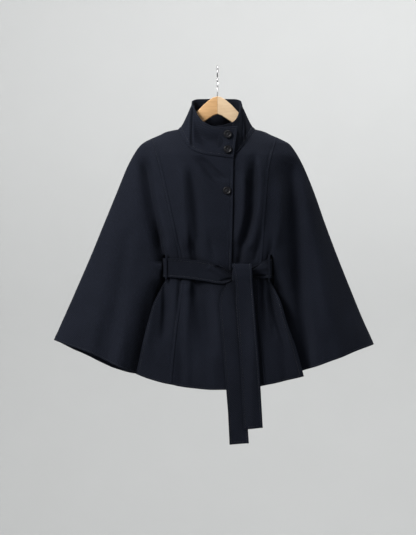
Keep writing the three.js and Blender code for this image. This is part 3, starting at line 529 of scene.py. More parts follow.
def thread_material():
    material, tree, shader = new_material("navy_thread")
    ply = noise_of(tree, position_of(tree), 2200, 2, 0.5)
    tree.links.new(ramp_of(tree, ply, (0.006, 0.0075, 0.012), (0.0135, 0.017, 0.026), 0.3, 0.7),
                   shader.inputs["Base Color"])
    shader.inputs["Roughness"].default_value = 0.55
    shader.inputs["Sheen Weight"].default_value = 0.3
    return material


def horn_material():
    """Dark polished button with faint streaks, duller where it is rubbed."""
    material, tree, shader = new_material("dark_horn")
    streak = noise_of(tree, turned(tree, position_of(tree), stretch=(1, 1, 0.3)), 260, 4, 0.6)
    tree.links.new(ramp_of(tree, streak, (0.004, 0.004, 0.006), (0.017, 0.017, 0.021), 0.35, 0.75),
                   shader.inputs["Base Color"])
    tree.links.new(scaled(tree, streak, 0.24, 0.3), shader.inputs["Roughness"])
    shader.inputs["Specular IOR Level"].default_value = 0.25
    shader.inputs["Coat Weight"].default_value = 0.06
    shader.inputs["Coat Roughness"].default_value = 0.15
    return material


def wood_material(name, low, high, lean):
    """Light varnished wood with its grain along the arm."""
    material, tree, shader = new_material(name)
    along = turned(tree, position_of(tree), (0, lean, 0), (0.12, 1, 1))
    grain = noise_of(tree, along, 230, 6, 0.62)
    band = noise_of(tree, along, 46, 3, 0.5)
    both = added(tree, scaled(tree, grain, 0.6), scaled(tree, band, 0.4))
    tree.links.new(ramp_of(tree, both, low, high, 0.34, 0.66), shader.inputs["Base Color"])
    tree.links.new(scaled(tree, grain, 0.2, 0.34), shader.inputs["Roughness"])
    shader.inputs["Coat Weight"].default_value = 0.2
    shader.inputs["Coat Roughness"].default_value = 0.3
    tree.links.new(bumped(tree, grain, 0.25, 0.0004), shader.inputs["Normal"])
    return material


def steel_material():
    """Drawn wire: fine marks along it."""
    material, tree, shader = new_material("hook_steel")
    brush = noise_of(tree, turned(tree, position_of(tree), stretch=(1, 1, 0.1)), 1500, 3, 0.6)
    tree.links.new(ramp_of(tree, brush, (0.42, 0.42, 0.43), (0.7, 0.7, 0.7), 0.3, 0.7),
                   shader.inputs["Base Color"])
    tree.links.new(scaled(tree, brush, 0.2, 0.2), shader.inputs["Roughness"])
    shader.inputs["Metallic"].default_value = 1.0
    return material


def wall_material(name, colour):
    material, tree, shader = new_material(name)
    mottle = noise_of(tree, position_of(tree), 3, 4, 0.5)
    low = tuple(0.985 * c for c in colour)
    tree.links.new(ramp_of(tree, mottle, low, colour, 0.3, 0.7), shader.inputs["Base Color"])
    shader.inputs["Roughness"].default_value = 0.9
    shader.inputs["Specular IOR Level"].default_value = 0.1
    return material


# Strength and reach of the shade painted into the wool's colour in folds and seams
FOLD_PAINTED_SHADE = 0.62
FOLD_PAINTED_SHADE_REACH = 0.045
NAVY_DARK = (0.0062, 0.0075, 0.0122)
NAVY_LIGHT = (0.0148, 0.0178, 0.0285)
WOOL_SKIN = wool_material("navy_wool", NAVY_DARK, NAVY_LIGHT, 1.0)
BELT_SKIN = wool_material("navy_wool_belt", tuple(0.86 * c for c in NAVY_DARK),
                          tuple(0.86 * c for c in NAVY_LIGHT), 0.8)
THREAD = thread_material()
HORN = horn_material()
# One wood for both halves; the right half's darker tone is painted shade and the left half's
# lighter tone painted light, standing for how the light falls on each half
WOOD_RIGHT_PAINTED_SHADE = wood_material("hanger_wood_r_painted_shade", (0.6, 0.33, 0.14), (0.8, 0.49, 0.235), 0.75)
WOOD_LEFT_PAINTED_LIGHT = wood_material("hanger_wood_l_painted_light", (0.72, 0.49, 0.285), (0.9, 0.68, 0.45), -0.75)
STEEL = steel_material()


# Meshes
def linked(mesh, name, material):
    mesh.polygons.foreach_set("use_smooth", [True] * len(mesh.polygons))
    mesh.materials.clear()
    mesh.materials.append(material)
    mesh.update()
    piece = bpy.data.objects.new(name, mesh)
    bpy.context.scene.collection.objects.link(piece)
    return piece


def put(name, points, faces, material, uv=None):
    mesh = bpy.data.meshes.new(name)
    mesh.from_pydata((np.asarray(points, float) * MM).tolist(), [],
                     [list(map(int, face)) for face in faces])
    if uv is not None:
        layer = mesh.uv_layers.new(name="Cloth")
        corner = np.empty(len(mesh.loops), dtype=np.int64)
        mesh.loops.foreach_get("vertex_index", corner)
        layer.data.foreach_set("uv", (np.asarray(uv, float)[corner] * MM).ravel())
    return linked(mesh, name, material)


def unit(vectors):
    return vectors / np.maximum(np.linalg.norm(vectors, axis=-1, keepdims=True), 1e-12)


def crossed(grid):
    return unit(np.cross(np.gradient(grid, axis=1), np.gradient(grid, axis=0)))


def grid_normals(grid, toward):
    normal = crossed(grid)
    if np.median(np.sum(normal * toward, axis=-1)) < 0:
        normal = -normal
    return normal


def run_of(line):
    """Distance of each point of a line from its start."""
    return np.concatenate([[0], np.cumsum(np.linalg.norm(np.diff(line, axis=0), axis=-1))])


def tube_faces(rings, sides, base=0):
    """Faces of a closed tube: its sides between the rings, and its two ends."""
    faces = []
    for k in range(rings - 1):
        low, high = base + k * sides, base + (k + 1) * sides
        for i in range(sides):
            j = (i + 1) % sides
            faces.append((low + i, low + j, high + j, high + i))
    last = base + (rings - 1) * sides
    return faces + [tuple(range(base, base + sides))[::-1], tuple(range(last, last + sides))]


def border_runs(grid):
    """Distance of each grid point from the top, the foot, the first and the last column."""
    step = np.linalg.norm(np.diff(grid, axis=1), axis=-1)
    run = np.concatenate([np.zeros((grid.shape[0], 1)), np.cumsum(step, axis=1)], axis=1)
    step = np.linalg.norm(np.diff(grid, axis=0), axis=-1)
    fall = np.concatenate([np.zeros((1, grid.shape[1])), np.cumsum(step, axis=0)], axis=0)
    return fall, fall[-1:] - fall, run, run[:, -1:] - run


def rounded(near, radius, thick):
    """How far the face sinks at a distance from an edge rounded to a radius."""
    near = np.clip(near, 0, radius)
    return (radius - np.sqrt(radius ** 2 - (radius - near) ** 2)) * min(1, thick * 0.48 / radius)


def wall(name, grid, normals, thick, material, flat, edges=(EDGE_ROUND,) * 4):
    """Closed cloth wall; the grid is its outer face, edges the rounding of its four sides."""
    rows, columns = grid.shape[:2]
    sink = np.max([rounded(near, edge, thick)
                   for near, edge in zip(border_runs(grid), edges)], axis=0)[..., None]
    outer = grid - normals * sink
    inner = grid - normals * (thick - sink)
    points = np.concatenate([outer.reshape(-1, 3), inner.reshape(-1, 3)])
    index = np.arange(rows * columns).reshape(rows, columns)
    a, b = index[:-1, :-1].ravel(), index[1:, :-1].ravel()
    c, d = index[1:, 1:].ravel(), index[:-1, 1:].ravel()
    far = rows * columns
    faces = [np.stack([a, b, c, d], 1), np.stack([a, d, c, b], 1) + far]
    for line in (index[:, 0], index[-1, :], index[::-1, -1], index[0, ::-1]):
        p, q = line[:-1], line[1:]
        faces.append(np.stack([q, p, p + far, q + far], 1))
    faces = np.concatenate(faces)
    middle = len(a) // 2
    corners = points[faces[middle]]
    turn = np.cross(corners[1] - corners[0], corners[2] - corners[0])
    if np.dot(turn, normals.reshape(-1, 3)[faces[middle][0]]) < 0:
        faces = faces[:, ::-1]
    uv = np.concatenate([flat.reshape(-1, 2), flat.reshape(-1, 2)])
    piece = put(name, points, faces, material, uv)
    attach(piece, "root")
    return piece


# Sewing
STITCH_PITCH = 4.2
STITCH_LENGTH = 3.0
STITCH_RADIUS = 0.32
STITCH_SIDES = 5
STITCH_RISE = 0.02
STITCH_RINGS = table("along wide", [[-0.3, 0.85], [0.0, 1.0], [0.3, 0.85]])
SEWN = {}


def sew(name, places, normals):
    """Row of stitches along a line of places on the cloth."""
    places, normals = np.asarray(places, float), unit(np.asarray(normals, float))
    run = run_of(places)
    count = int((run[-1] - STITCH_LENGTH) / STITCH_PITCH)
    starts = (run[-1] - count * STITCH_PITCH) / 2 + STITCH_PITCH * (np.arange(count) + 0.5)
    at = np.stack([np.interp(starts, run, places[:, k]) for k in range(3)], -1)
    ahead = np.stack([np.interp(starts + 1, run, places[:, k]) for k in range(3)], -1)
    up = unit(np.stack([np.interp(starts, run, normals[:, k]) for k in range(3)], -1))
    along = unit(ahead - at)
    side = unit(np.cross(along, up))
    at = at + up * STITCH_RISE
    points, faces = SEWN.setdefault(name, ([], []))
    rings = len(STITCH_RINGS["along"])
    for p, f, s, u in zip(at, along, side, up):
        base = len(points)
        points.append(p - f * STITCH_LENGTH / 2 - u * STITCH_RADIUS)
        for k in range(rings):
            middle = p + f * STITCH_LENGTH * STITCH_RINGS["along"][k]
            for i in range(STITCH_SIDES):
                turn = 2 * math.pi * i / STITCH_SIDES
                radius = STITCH_RADIUS * STITCH_RINGS["wide"][k]
                points.append(middle + s * radius * math.cos(turn) + u * radius * math.sin(turn))
        points.append(p + f * STITCH_LENGTH / 2 - u * STITCH_RADIUS)
        last = base + rings * STITCH_SIDES + 1
        for i in range(STITCH_SIDES):
            j = (i + 1) % STITCH_SIDES
            faces.append((base, base + 1 + j, base + 1 + i))
            faces.append((last, last - STITCH_SIDES + i, last - STITCH_SIDES + j))
            for k in range(rings - 1):
                low, high = base + 1 + k * STITCH_SIDES, base + 1 + (k + 1) * STITCH_SIDES
                faces.append((low + i, low + j, high + j, high + i))


def sew_grid(name, grid, normals, row=None, column=None):
    """Stitches along a row or a column of a wall's grid."""
    line = grid[row] if row is not None else grid[:, column]
    out = normals[row] if row is not None else normals[:, column]
    sew(name, line, out)


# Flat patterns of the panels, as grids of x and drop
EDGE_STEPS = np.array([0, 0.16, 0.4, 0.75, 1.2])
PITCH = 3.2
HALF_GAP = -0.12
# Lengths that set how many columns a panel has
NECKLINE = 190
SIDE_TOP = 72
SLEEVE_TOP = 270
SHOULDER = 100


def spread(length, pitch, crowding=1.0):
    """Parts of a length: finest at both ends for the rounded edge, even between them."""
    count = max(2, int(round((length - 2 * EDGE_STEPS[-1]) / pitch)))
    inner = (np.arange(1, count) / count) ** crowding
    body = EDGE_STEPS[-1] + inner * (length - 2 * EDGE_STEPS[-1])
    return np.concatenate([EDGE_STEPS, body, length - EDGE_STEPS[::-1]]) / length


def row_parts(above, below, pitch):
    """Rows of a panel: the first half goes down to the slit's level, the rest to the hem."""
    upper = spread(above, pitch, 1.35)[: -len(EDGE_STEPS)]
    lower = spread(below, pitch)[len(EDGE_STEPS):]
    return np.concatenate([upper / 2, [0.5], 0.5 + lower / 2])


def row_drops(top, waist, hem, parts):
    return np.where(parts < 0.5, mix(top, waist, 2 * parts), mix(waist, hem, 2 * parts - 1))


def outline_at(column, drops):
    return np.stack([curve(OUTLINE["drop"], OUTLINE[column], drops), drops], -1)


def outline_across(column, x):
    fine = np.linspace(172, 262, 1801)
    reach = np.abs(curve(OUTLINE["drop"], OUTLINE[column], fine))
    return np.stack([x, np.interp(np.abs(x), reach, fine)], -1)


def down_seam(seam, drops, shift):
    return np.stack([curve(seam["drop"], seam["x"], drops) + shift, drops], -1)


def down_slit(slit, below, drops, shift):
    x = np.where(drops <= SLIT_DROP, curve(slit["drop"], slit["x"], drops),
                 curve(below["drop"], below["x"], drops))
    return np.stack([x + shift, drops], -1)


def part_of(line, axis):
    return (line[:, axis] - line[0, axis]) / (line[-1, axis] - line[0, axis])


def framed(top, hem, first, last):
    """Grid between a top edge, a hem and two side edges."""
    start = np.concatenate([top[:1], first[1:]])
    end = np.concatenate([top[-1:], last[1:]])
    at = mix(start[-1, 0], end[-1, 0], part_of(top, 0))
    order = np.argsort(hem["x"])
    foot = np.stack([at, curve(hem["x"][order], hem["drop"][order], at)], -1)
    foot = np.concatenate([start[-1:], foot[1:-1], end[-1:]])
    u = part_of(top, 0)[None, :, None]
    v = ((part_of(start, 1) + part_of(end, 1)) / 2)[:, None, None]
    corners = mix(mix(top[0], top[-1], u), mix(start[-1], end[-1], u), v)
    return mix(top[None], foot[None], v) + mix(start[:, None], end[:, None], u) - corners


def lifted(side, flat, extra):
    x, drop = flat[..., 0], flat[..., 1]
    return np.stack([x, height(side, x, drop, extra), -drop], -1)


GRIDS = {}


def keep(name, grid, normals):
    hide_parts(name)
    GRIDS[name] = (grid, normals)


def stitched_rim(near):
    """Cloth beside a stitched edge: a full rim and the groove of the stitches."""
    return 0.5 * (1 - ease((near - HEM_INSET + 1.2) / 1.6)) - 0.9 * bell(near - HEM_INSET, 1.1)


PANEL_EDGES = (SEAM_ROUND, EDGE_ROUND, SEAM_ROUND, SEAM_ROUND)
CLOSED_EDGES = (SEAM_ROUND, EDGE_ROUND, SEAM_ROUND, EDGE_ROUND)


def panel(name, side, flat, extra, free=None, edges=PANEL_EDGES):
    """Cloth panel; free is the column along its free edge below the slit."""
    grid = lifted(side, flat, extra)
    normals = grid_normals(grid, np.array([0, side, 0.0]))
    out = stitched_rim(np.linalg.norm(grid - grid[-1:], axis=-1))
    if free is not None:
        edge = np.linalg.norm(grid - grid[:, free][:, None], axis=-1)
        below = ease((-grid[..., 2] - SLIT_DROP - 4) / 10)
        out = np.where(out < 0, out, 0) + below * stitched_rim(edge)
    out *= np.clip(np.abs(grid[..., 1]) / 12, 0, 1)
    grid = grid + normals * out[..., None]
    normals = grid_normals(grid, np.array([0, side, 0.0]))
    normals[np.abs(grid[..., 1]) < SEAM_GAP * 0.51, 1] = 0
    normals = unit(normals)
    piece = wall(name + "_cloth", grid, normals, WOOL, WOOL_SKIN, flat, edges)
    keep(name, grid, normals)


def center_front(name, column, princess, neck, hem, edge, worn, extra):
    top_drop, foot_drop = princess["drop"][0], princess["drop"][-1]
    out_x = curve(OUTLINE["drop"], OUTLINE[column], top_drop) - worn * HALF_GAP
    neck_x = neck["x"][0]
    across = mix(out_x, neck_x, spread(abs(out_x - neck_x), PITCH)[: -len(EDGE_STEPS)])
    parts = np.concatenate([[0], spread(NECKLINE, PITCH)[len(EDGE_STEPS):]])
    neckline = np.stack(on_path(neck, "x drop", parts), -1)
    top = np.concatenate([outline_across(column, across), neckline])
    rows = row_parts(SLIT_DROP - top_drop, foot_drop - SLIT_DROP, PITCH)
    seam = down_seam(princess, row_drops(top_drop, SLIT_DROP, foot_drop, rows),
                     -worn * HALF_GAP)
    front = down_seam(edge, row_drops(edge["drop"][0], SLIT_DROP, edge["drop"][-1], rows), 0)
    panel(name, -1, framed(top, hem, seam, front), extra, edges=CLOSED_EDGES)


def side_front(name, column, slit, free, princess, hem, worn, extra):
    top_drop, foot_drop = princess["drop"][0], princess["drop"][-1]
    start = curve(OUTLINE["drop"], OUTLINE[column], slit["drop"][0]) - worn * HALF_GAP
    end = curve(OUTLINE["drop"], OUTLINE[column], top_drop) + worn * HALF_GAP
    top = outline_across(column, mix(start, end, spread(SIDE_TOP, PITCH * 0.9)))
    rows = row_parts(SLIT_DROP - top_drop, foot_drop - SLIT_DROP, PITCH)
    outer_drops = row_drops(slit["drop"][0], SLIT_DROP, free["drop"][-1], rows)
    outer = down_slit(slit, free, outer_drops, -worn * HALF_GAP)
    inner = down_seam(princess, row_drops(top_drop, SLIT_DROP, foot_drop, rows),
                      worn * HALF_GAP)
    panel(name, -1, framed(top, hem, outer, inner), extra, free=0)
    grid, normals = GRIDS[name]
    run = np.linalg.norm(grid - grid[:, :1], axis=-1).mean(axis=0)
    column = int(np.argmin(np.abs(run - HEM_INSET)))
    lower = -grid[:, column, 2] > SLIT_DROP + 70
    sew(name, grid[lower, column], normals[lower, column])


def sleeve_half(name, side, column, seam, below, hem, corner, worn, extra=None):
    end_x = curve(OUTLINE["drop"], OUTLINE[column], SHOULDER_DROP)
    seam_x = curve(OUTLINE["drop"], OUTLINE[column], seam["drop"][0]) + worn * HALF_GAP
    parts = spread(SLEEVE_TOP, PITCH * 1.1)
    parts = np.where(parts < 0.3, (parts / 0.3) ** 1.5 * 0.3, parts)
    top = outline_across(column, mix(end_x, seam_x, parts))
    rows = row_parts(SLIT_DROP - seam["drop"][0], below["drop"][-1] - SLIT_DROP, PITCH * 1.15)
    over = outline_at(column, row_drops(SHOULDER_DROP, OVER_ARM_WAIST, corner, rows))
    drops = row_drops(seam["drop"][0], SLIT_DROP, below["drop"][-1], rows)
    inner = down_slit(seam, below, drops, worn * HALF_GAP)
    panel(name, side, framed(top, hem, over, inner), extra)


def back_panel():
    seams = RIGHT_BACK_SEAM, LEFT_BACK_SEAM
    right_x = curve(OUTLINE["drop"], OUTLINE["right"], seams[0]["drop"][0]) + HALF_GAP
    left_x = curve(OUTLINE["drop"], OUTLINE["left"], seams[1]["drop"][0]) - HALF_GAP
    parts = spread(SHOULDER, PITCH)[: -len(EDGE_STEPS)]
    right = outline_across("right", mix(right_x, BACK_NECK["x"][0], parts))
    left = outline_across("left", mix(left_x, BACK_NECK["x"][-1], parts))[::-1]
    neck = np.stack(on_path(BACK_NECK, "x drop", np.linspace(0, 1, 61)), -1)
    top = np.concatenate([right, neck, left])
    first, last = seams[0]["drop"][0], seams[0]["drop"][-1]
    rows = row_parts(SLIT_DROP - first, last - SLIT_DROP, PITCH * 1.15)
    sides = []
    for seam, shift in zip(seams, (HALF_GAP, -HALF_GAP)):
        drops = row_drops(seam["drop"][0], SLIT_DROP, seam["drop"][-1], rows)
        sides.append(down_seam(seam, drops, shift))
    panel("back", 1, framed(top, BACK_HEM, *sides), None)


center_front("front_center_r", "right", RIGHT_PRINCESS, RIGHT_NECK, RIGHT_FRONT_HEM,
             RIGHT_FRONT_EDGE, -1, edge_stitched(RIGHT_FRONT_EDGE, -1))
center_front("front_center_l", "left", LEFT_PRINCESS, LEFT_NECK, LEFT_FRONT_HEM,
             LEFT_FRONT_EDGE, 1, welted(LEFT_PRINCESS, -1, underlap))
side_front("front_side_r", "right", RIGHT_SLIT, RIGHT_FREE_EDGE, RIGHT_PRINCESS,
           RIGHT_SIDE_HEM, -1, welted(RIGHT_PRINCESS, -1, flare(RIGHT_FREE_EDGE, -1)))
side_front("front_side_l", "left", LEFT_SLIT, LEFT_FREE_EDGE, LEFT_PRINCESS,
           LEFT_SIDE_HEM, 1, flare(LEFT_FREE_EDGE, 1))
sleeve_half("sleeve_front_r", -1, "right", RIGHT_SLIT, RIGHT_HIDDEN_EDGE, RIGHT_SLEEVE_HEM,
            CORNER_DROP_RIGHT, -1, behind(RIGHT_FREE_EDGE, -1))
sleeve_half("sleeve_front_l", -1, "left", LEFT_SLIT, LEFT_HIDDEN_EDGE, LEFT_SLEEVE_HEM,
            CORNER_DROP_LEFT, 1, behind(LEFT_FREE_EDGE, 1))
sleeve_half("sleeve_back_r", 1, "right", RIGHT_BACK_SEAM, RIGHT_BACK_SEAM,
            RIGHT_BACK_SLEEVE_HEM, CORNER_DROP_RIGHT, -1)
sleeve_half("sleeve_back_l", 1, "left", LEFT_BACK_SEAM, LEFT_BACK_SEAM,
            LEFT_BACK_SLEEVE_HEM, CORNER_DROP_LEFT, 1)
back_panel()


def sew_beside(name, side, line, shift, extra):
    """Stitches at a fixed distance beside a seam that runs down the cloth."""
    drops = np.arange(line["drop"][0] + 4, line["drop"][-1] - 3, 1.0)
    x = curve(line["drop"], line["x"], drops) + shift
    grid = np.stack([lifted(side, np.stack([x + step, drops], -1), extra)
                     for step in (-0.6, 0, 0.6)], 1)
    normals = grid_normals(grid, np.array([0, side, 0.0]))
    sew(name, grid[:, 1], normals[:, 1])


sew_beside("front_side_r", -1, RIGHT_PRINCESS, -WELT,
           welted(RIGHT_PRINCESS, -1, flare(RIGHT_FREE_EDGE, -1)))
sew_beside("front_center_l", -1, LEFT_PRINCESS, -WELT, welted(LEFT_PRINCESS, -1, underlap))
sew_beside("front_center_r", -1, RIGHT_FRONT_EDGE, -EDGE_STITCH,
           edge_stitched(RIGHT_FRONT_EDGE, -1))

# Rows near the hem that carry its stitching
for name in ("front_center_r", "front_center_l", "front_side_r", "front_side_l",
             "sleeve_front_r", "sleeve_front_l", "sleeve_back_r", "sleeve_back_l", "back"):
    grid, normals = GRIDS[name]
    fall = np.linalg.norm(grid - grid[-1:], axis=-1).mean(axis=1)
    row = int(np.argmin(np.abs(fall - HEM_INSET)))
    inside = np.minimum(*border_runs(grid)[2:])[row] > HEM_INSET * 0.5
    sew(name, grid[row][inside], normals[row][inside])

# Collar
RIGHT_RIM = table("x y drop", [
    [-69, 4, 98], [-67, -12, 109], [-59, -30, 127], [-48, -43, 147], [-34, -50, 159],
    [-15, -55, 169], [12, -58, 172], [54, -60, 170],
])
BACK_RIM = table("x y drop", [
    [-69, 4, 98], [-70, 18, 92], [-66, 33, 86], [-52, 42, 82], [0, 45, 81],
    [48, 42, 82], [61, 33, 86], [65, 18, 92], [65, 4, 98],
])
LEFT_RIM = table("x y drop", [
    [65, 4, 98], [63, -12, 110], [59, -28, 129], [52, -40, 146], [39, -47, 158],
    [15, -51, 166], [0, -52, 168],
])
COLLAR_FOOT_DIP = 6
COLLAR_LIFT = 0.5
COLLAR_BEND = 0.45
COLLAR_TALL = 84.0
COLLAR_HOLLOW = 15.0
# Creases of the collar: part along it, lean from foot to rim, height, width, and its ends
COLLAR_CREASES = table("along lean height width low high", [
    [0.264, 0.102, -4.8, 0.008, 0.02, 1.1],
    [0.286, 0.1, 2.4, 0.012, 0.0, 1.1],
    [0.238, 0.1, 1.4, 0.012, 0.1, 1.0],
    [0.788, -0.11, -2.4, 0.010, 0.02, 1.1],
    [0.806, -0.115, 2.6, 0.008, 0.0, 1.1],
    [0.835, -0.1, -1.6, 0.014, 0.1, 1.0],
    [0.120, 0.020, 0.9, 0.020, 0.2, 0.8],
    [0.460, -0.008, 1.0, 0.025, 0.1, 0.8],
    [0.600, 0.010, -1.2, 0.022, 0.15, 0.9],
])


def collar_columns():
    def seam_front(neck, t, extra):
        x, drop = on_path(neck, "x drop", t)
        return np.stack([x, height(-1, x, drop, extra, fine=False), -drop], -1)

    def rim(path, t):
        x, y, drop = on_path(path, "x y drop", t)
        return np.stack([x, y, -drop], -1)

    ends = spread(NECKLINE, 2.6)
    right = 1 - ends[: -len(EDGE_STEPS) + 1]
    left = ends[len(EDGE_STEPS) - 1:]
    right[-1], left[0] = 0, 0
    middle = np.linspace(0, 1, 90)[1:-1]
    x, drop = on_path(BACK_NECK, "x drop", middle)
    back = np.stack([x, height(1, x, drop, None, fine=False), -drop], -1)
    foot = np.concatenate([seam_front(RIGHT_NECK, right, None), back,
                           seam_front(LEFT_NECK, left, underlap)])
    top = np.concatenate([rim(RIGHT_RIM, right), rim(BACK_RIM, middle), rim(LEFT_RIM, left)])
    return foot, top


def make_collar():
    foot, top = collar_columns()
    rows = spread(COLLAR_TALL, 2.3)
    t = rows[:, None]
    inward = unit(-foot * [1, 1, 0])
    sideways = np.clip((np.abs(foot[:, 0]) - 55) / 45, 0, 1)
    dip = COLLAR_FOOT_DIP * sideways[None] * np.sin(np.pi * t ** COLLAR_BEND)
    grid = mix(foot[None], top[None], t[..., None]) + inward[None] * dip[..., None]
    grid[..., 2] += COLLAR_LIFT * (1 - t)
    outward = grid.mean(axis=0) - np.array([0, -5, -190.0])
    outward[:, 2] = 0
    normals = grid_normals(grid, outward[None])
    run = run_of(grid[len(rows) // 2])
    along = (run / run[-1])[None, :]
    out = np.zeros(grid.shape[:2])
    for crease in rows_of(COLLAR_CREASES):
        middle = crease["along"] + crease["lean"] * (t - 0.5)
        inside = ease((t - crease["low"]) / 0.2 + 0.2) * ease((crease["high"] - t) / 0.2)
        out += crease["height"] * inside * bell(along - middle, crease["width"])
    fold = 0.213 + 0.102 * t
    hollow = (1 - ease((along - fold + 0.085) / 0.08)) * mix(0.12, 1, ease((along - 0.03) / 0.1))
    out -= COLLAR_HOLLOW * hollow * bell(t - 0.5, 0.25)
    from_rim, from_foot, from_end = (1 - t) * COLLAR_TALL, t * COLLAR_TALL, run[None, :]
    out = out + 1.0 * (1 - ease((from_rim - 5) / 2)) - 1.1 * bell(from_rim - 6.5, 1.2)
    out = out + 0.9 * (1 - ease((from_foot - 7) / 2)) - 0.9 * bell(from_foot - 8, 1.2)
    out = out + 0.8 * (1 - ease((from_end - 5.5) / 2)) - 1.0 * bell(from_end - 7, 1.2)
    grid = grid + normals * (out * ease(t / 0.04))[..., None]
    normals = grid_normals(grid, outward[None])
    normals[0, :, 2] = 0
    normals = unit(normals)
    flat = np.stack(np.broadcast_arrays(run[None, :], -t * COLLAR_TALL), -1)
    piece = wall("collar_cloth", grid, normals, COLLAR_WALL, WOOL_SKIN, flat)
    keep("collar", grid, normals)
    for inset in (8.0, COLLAR_TALL - 6.5):
        row = int(np.argmin(np.abs(rows * COLLAR_TALL - inset)))
        sew_grid("collar", grid[:, 3:-3], normals[:, 3:-3], row=row)
    column = int(np.argmin(np.abs(run - 7)))
    sew_grid("collar", grid[6:-6], normals[6:-6], column=column)


make_collar()

# Belt
BELT_PROUD = BELT_WALL + 1
BELT_FRONT_RIGHT = table("x top bottom", [
    [40, 567, 583], [30, 560, 591], [17, 551, 595], [-4, 543, 594], [-30, 536, 589],
    [-66, 531, 584], [-100, 528, 580], [-128, 526, 578], [-138, 526, 577.5],
])
BELT_FRONT_LEFT = table("x top bottom", [
    [91, 553, 578], [100, 548, 579], [114, 541, 580], [127, 533, 580], [138, 527, 579],
])
SLIT_TURN = table("out back", [[0, -4], [3.6, -2.9], [6.2, 0], [7.6, 4]])
SLIT_END_DEPTH = -56
# Creases of the belt between two points; a negative height is a valley
BELT_CREASES = table("x1 drop1 x2 drop2 height width", [
    [-4, 548, 44, 573, -5.5, 3.8],
    [-26, 550, 40, 584, 2.2, 6.5],
    [0, 543, 40, 562, 2.0, 4],
    [8, 588, 44, 580, -3.0, 3.5],
    [-60, 560, -12, 566, -0.7, 8],
    [-110, 548, -70, 556, 0.6, 10],
    [90, 558, 122, 537, -4.0, 3.0],
    [90, 564, 136, 550, 2.2, 6],
    [88, 571, 130, 575, -5.0, 3.4],
    [96, 577, 136, 577, 1.0, 2.4],
])


def crease_height(x, drop):
    total = np.zeros_like(x)
    for c in rows_of(BELT_CREASES):
        dx, dz = c["x2"] - c["x1"], c["drop2"] - c["drop1"]
        size = math.hypot(dx, dz)
        along = ((x - c["x1"]) * dx + (drop - c["drop1"]) * dz) / size
        across = ((x - c["x1"]) * dz - (drop - c["drop1"]) * dx) / size
        inside = ease(along / 10 + 0.5) * ease((size - along) / 10 + 0.5)
        total += c["height"] * inside * bell(across, c["width"])
    return total


def edge_groove(t, width):
    """Groove of the stitches near both edges of a strip."""
    near = np.minimum(t, 1 - t) * width
    return (0.8 * (1 - ease((near - BELT_STITCH + 1.5) / 2))
            - 0.9 * bell(near - BELT_STITCH, 1.2))


def away_normals(grid, away):
    """Normals of a grid, each on the side to which away points."""
    normals = crossed(grid)
    return np.where(np.sum(normals * away, axis=-1, keepdims=True) < 0, -normals, normals)


def strip(name, lines, heart, width, skin=None, out=None):
    """Strip of cloth through lines of points across it, stitched along both edges."""
    grid = np.asarray(lines, float)
    away = grid - np.asarray(heart, float)
    normals = away_normals(grid, away)
    across = run_of(grid[len(grid) // 2])
    t = across / across[-1]
    raised = np.broadcast_to(edge_groove(t[None, :], width), grid.shape[:2])
    if out is not None:
        raised = raised + out
    grid = grid + normals * raised[..., None]
    normals = away_normals(grid, away)
    run = run_of(grid[:, len(t) // 2])
    flat = np.stack(np.broadcast_arrays(across[None, :], -run[:, None]), -1)
    piece = wall(name + "_cloth", grid, normals, BELT_WALL, skin or BELT_SKIN, flat)
    keep(name, grid, normals)
    return t


BELT_WIDE = 50
BELT_BACK_WIDE = 51
ACROSS = spread(BELT_WIDE, 2.0)


def stitched_edges(name, t, width):
    grid, normals = GRIDS[name]
    for inset in (BELT_STITCH, width - BELT_STITCH):
        column = int(np.argmin(np.abs(t * width - inset)))
        sew_grid(name, grid[4:-4], normals[4:-4], column=column)


def belt_front(name, rows, worn):
    length = abs(rows["x"][-1] - rows["x"][0])
    x, top, bottom = on_path(rows, "x top bottom", spread(length, 2.0)[: -len(EDGE_STEPS)])
    drop = mix(top[:, None], bottom[:, None], ACROSS[None])
    x = np.broadcast_to(x[:, None], drop.shape)
    y = height(-1, x, drop, fine=False) - BELT_PROUD
    body = np.stack([x, y, -drop], -1)
    end_x, end_drop = rows["x"][-1], mix(rows["top"][-1], rows["bottom"][-1], ACROSS)
    face_y = height(-1, np.full_like(end_drop, end_x), end_drop, fine=False)
    turn = []
    for out in np.linspace(0, SLIT_TURN["out"][-1], 7):
        back = curve(SLIT_TURN["out"], SLIT_TURN["back"], out)
        turn.append(np.stack([np.full_like(end_drop, end_x + worn * out), face_y + back,
                              -end_drop], -1))
    final = np.stack([np.full_like(end_drop, end_x + worn * 8),
                      np.full_like(end_drop, SLIT_END_DEPTH), -end_drop], -1)
    for part in spread(12, 2.0)[1:]:
        turn.append(mix(turn[6], final, part))
    lines = np.concatenate([body, np.stack(turn)])
    out = crease_height(lines[..., 0], -lines[..., 2])
    t = strip(name, lines, (0, 300, -BELT_DROP), BELT_WIDE, out=out)
    stitched_edges(name, t, BELT_WIDE)


belt_front("belt_front_r", BELT_FRONT_RIGHT, -1)
belt_front("belt_front_l", BELT_FRONT_LEFT, 1)

BELT_BACK = table("x y", [
    [-146, -55.7], [-150, -34], [-149, -6], [-136, 28], [-104, 54], [-56, 68], [0, 72],
    [56, 68], [104, 54], [136, 28], [149, -6], [150, -34], [146, -55.7],
])
BELT_BACK_TOP = 526
BELT_BACK_BOTTOM = 577


def belt_back():
    x, y = on_path(BELT_BACK, "x y", spread(420, 3.2))
    drop = mix(BELT_BACK_TOP, BELT_BACK_BOTTOM, ACROSS)
    lines = np.stack(np.broadcast_arrays(x[:, None], y[:, None], -drop[None]), -1)
    t = strip("belt_back", lines, (0, -20, -BELT_DROP), BELT_BACK_WIDE)
    stitched_edges("belt_back", t, BELT_BACK_WIDE)


belt_back()

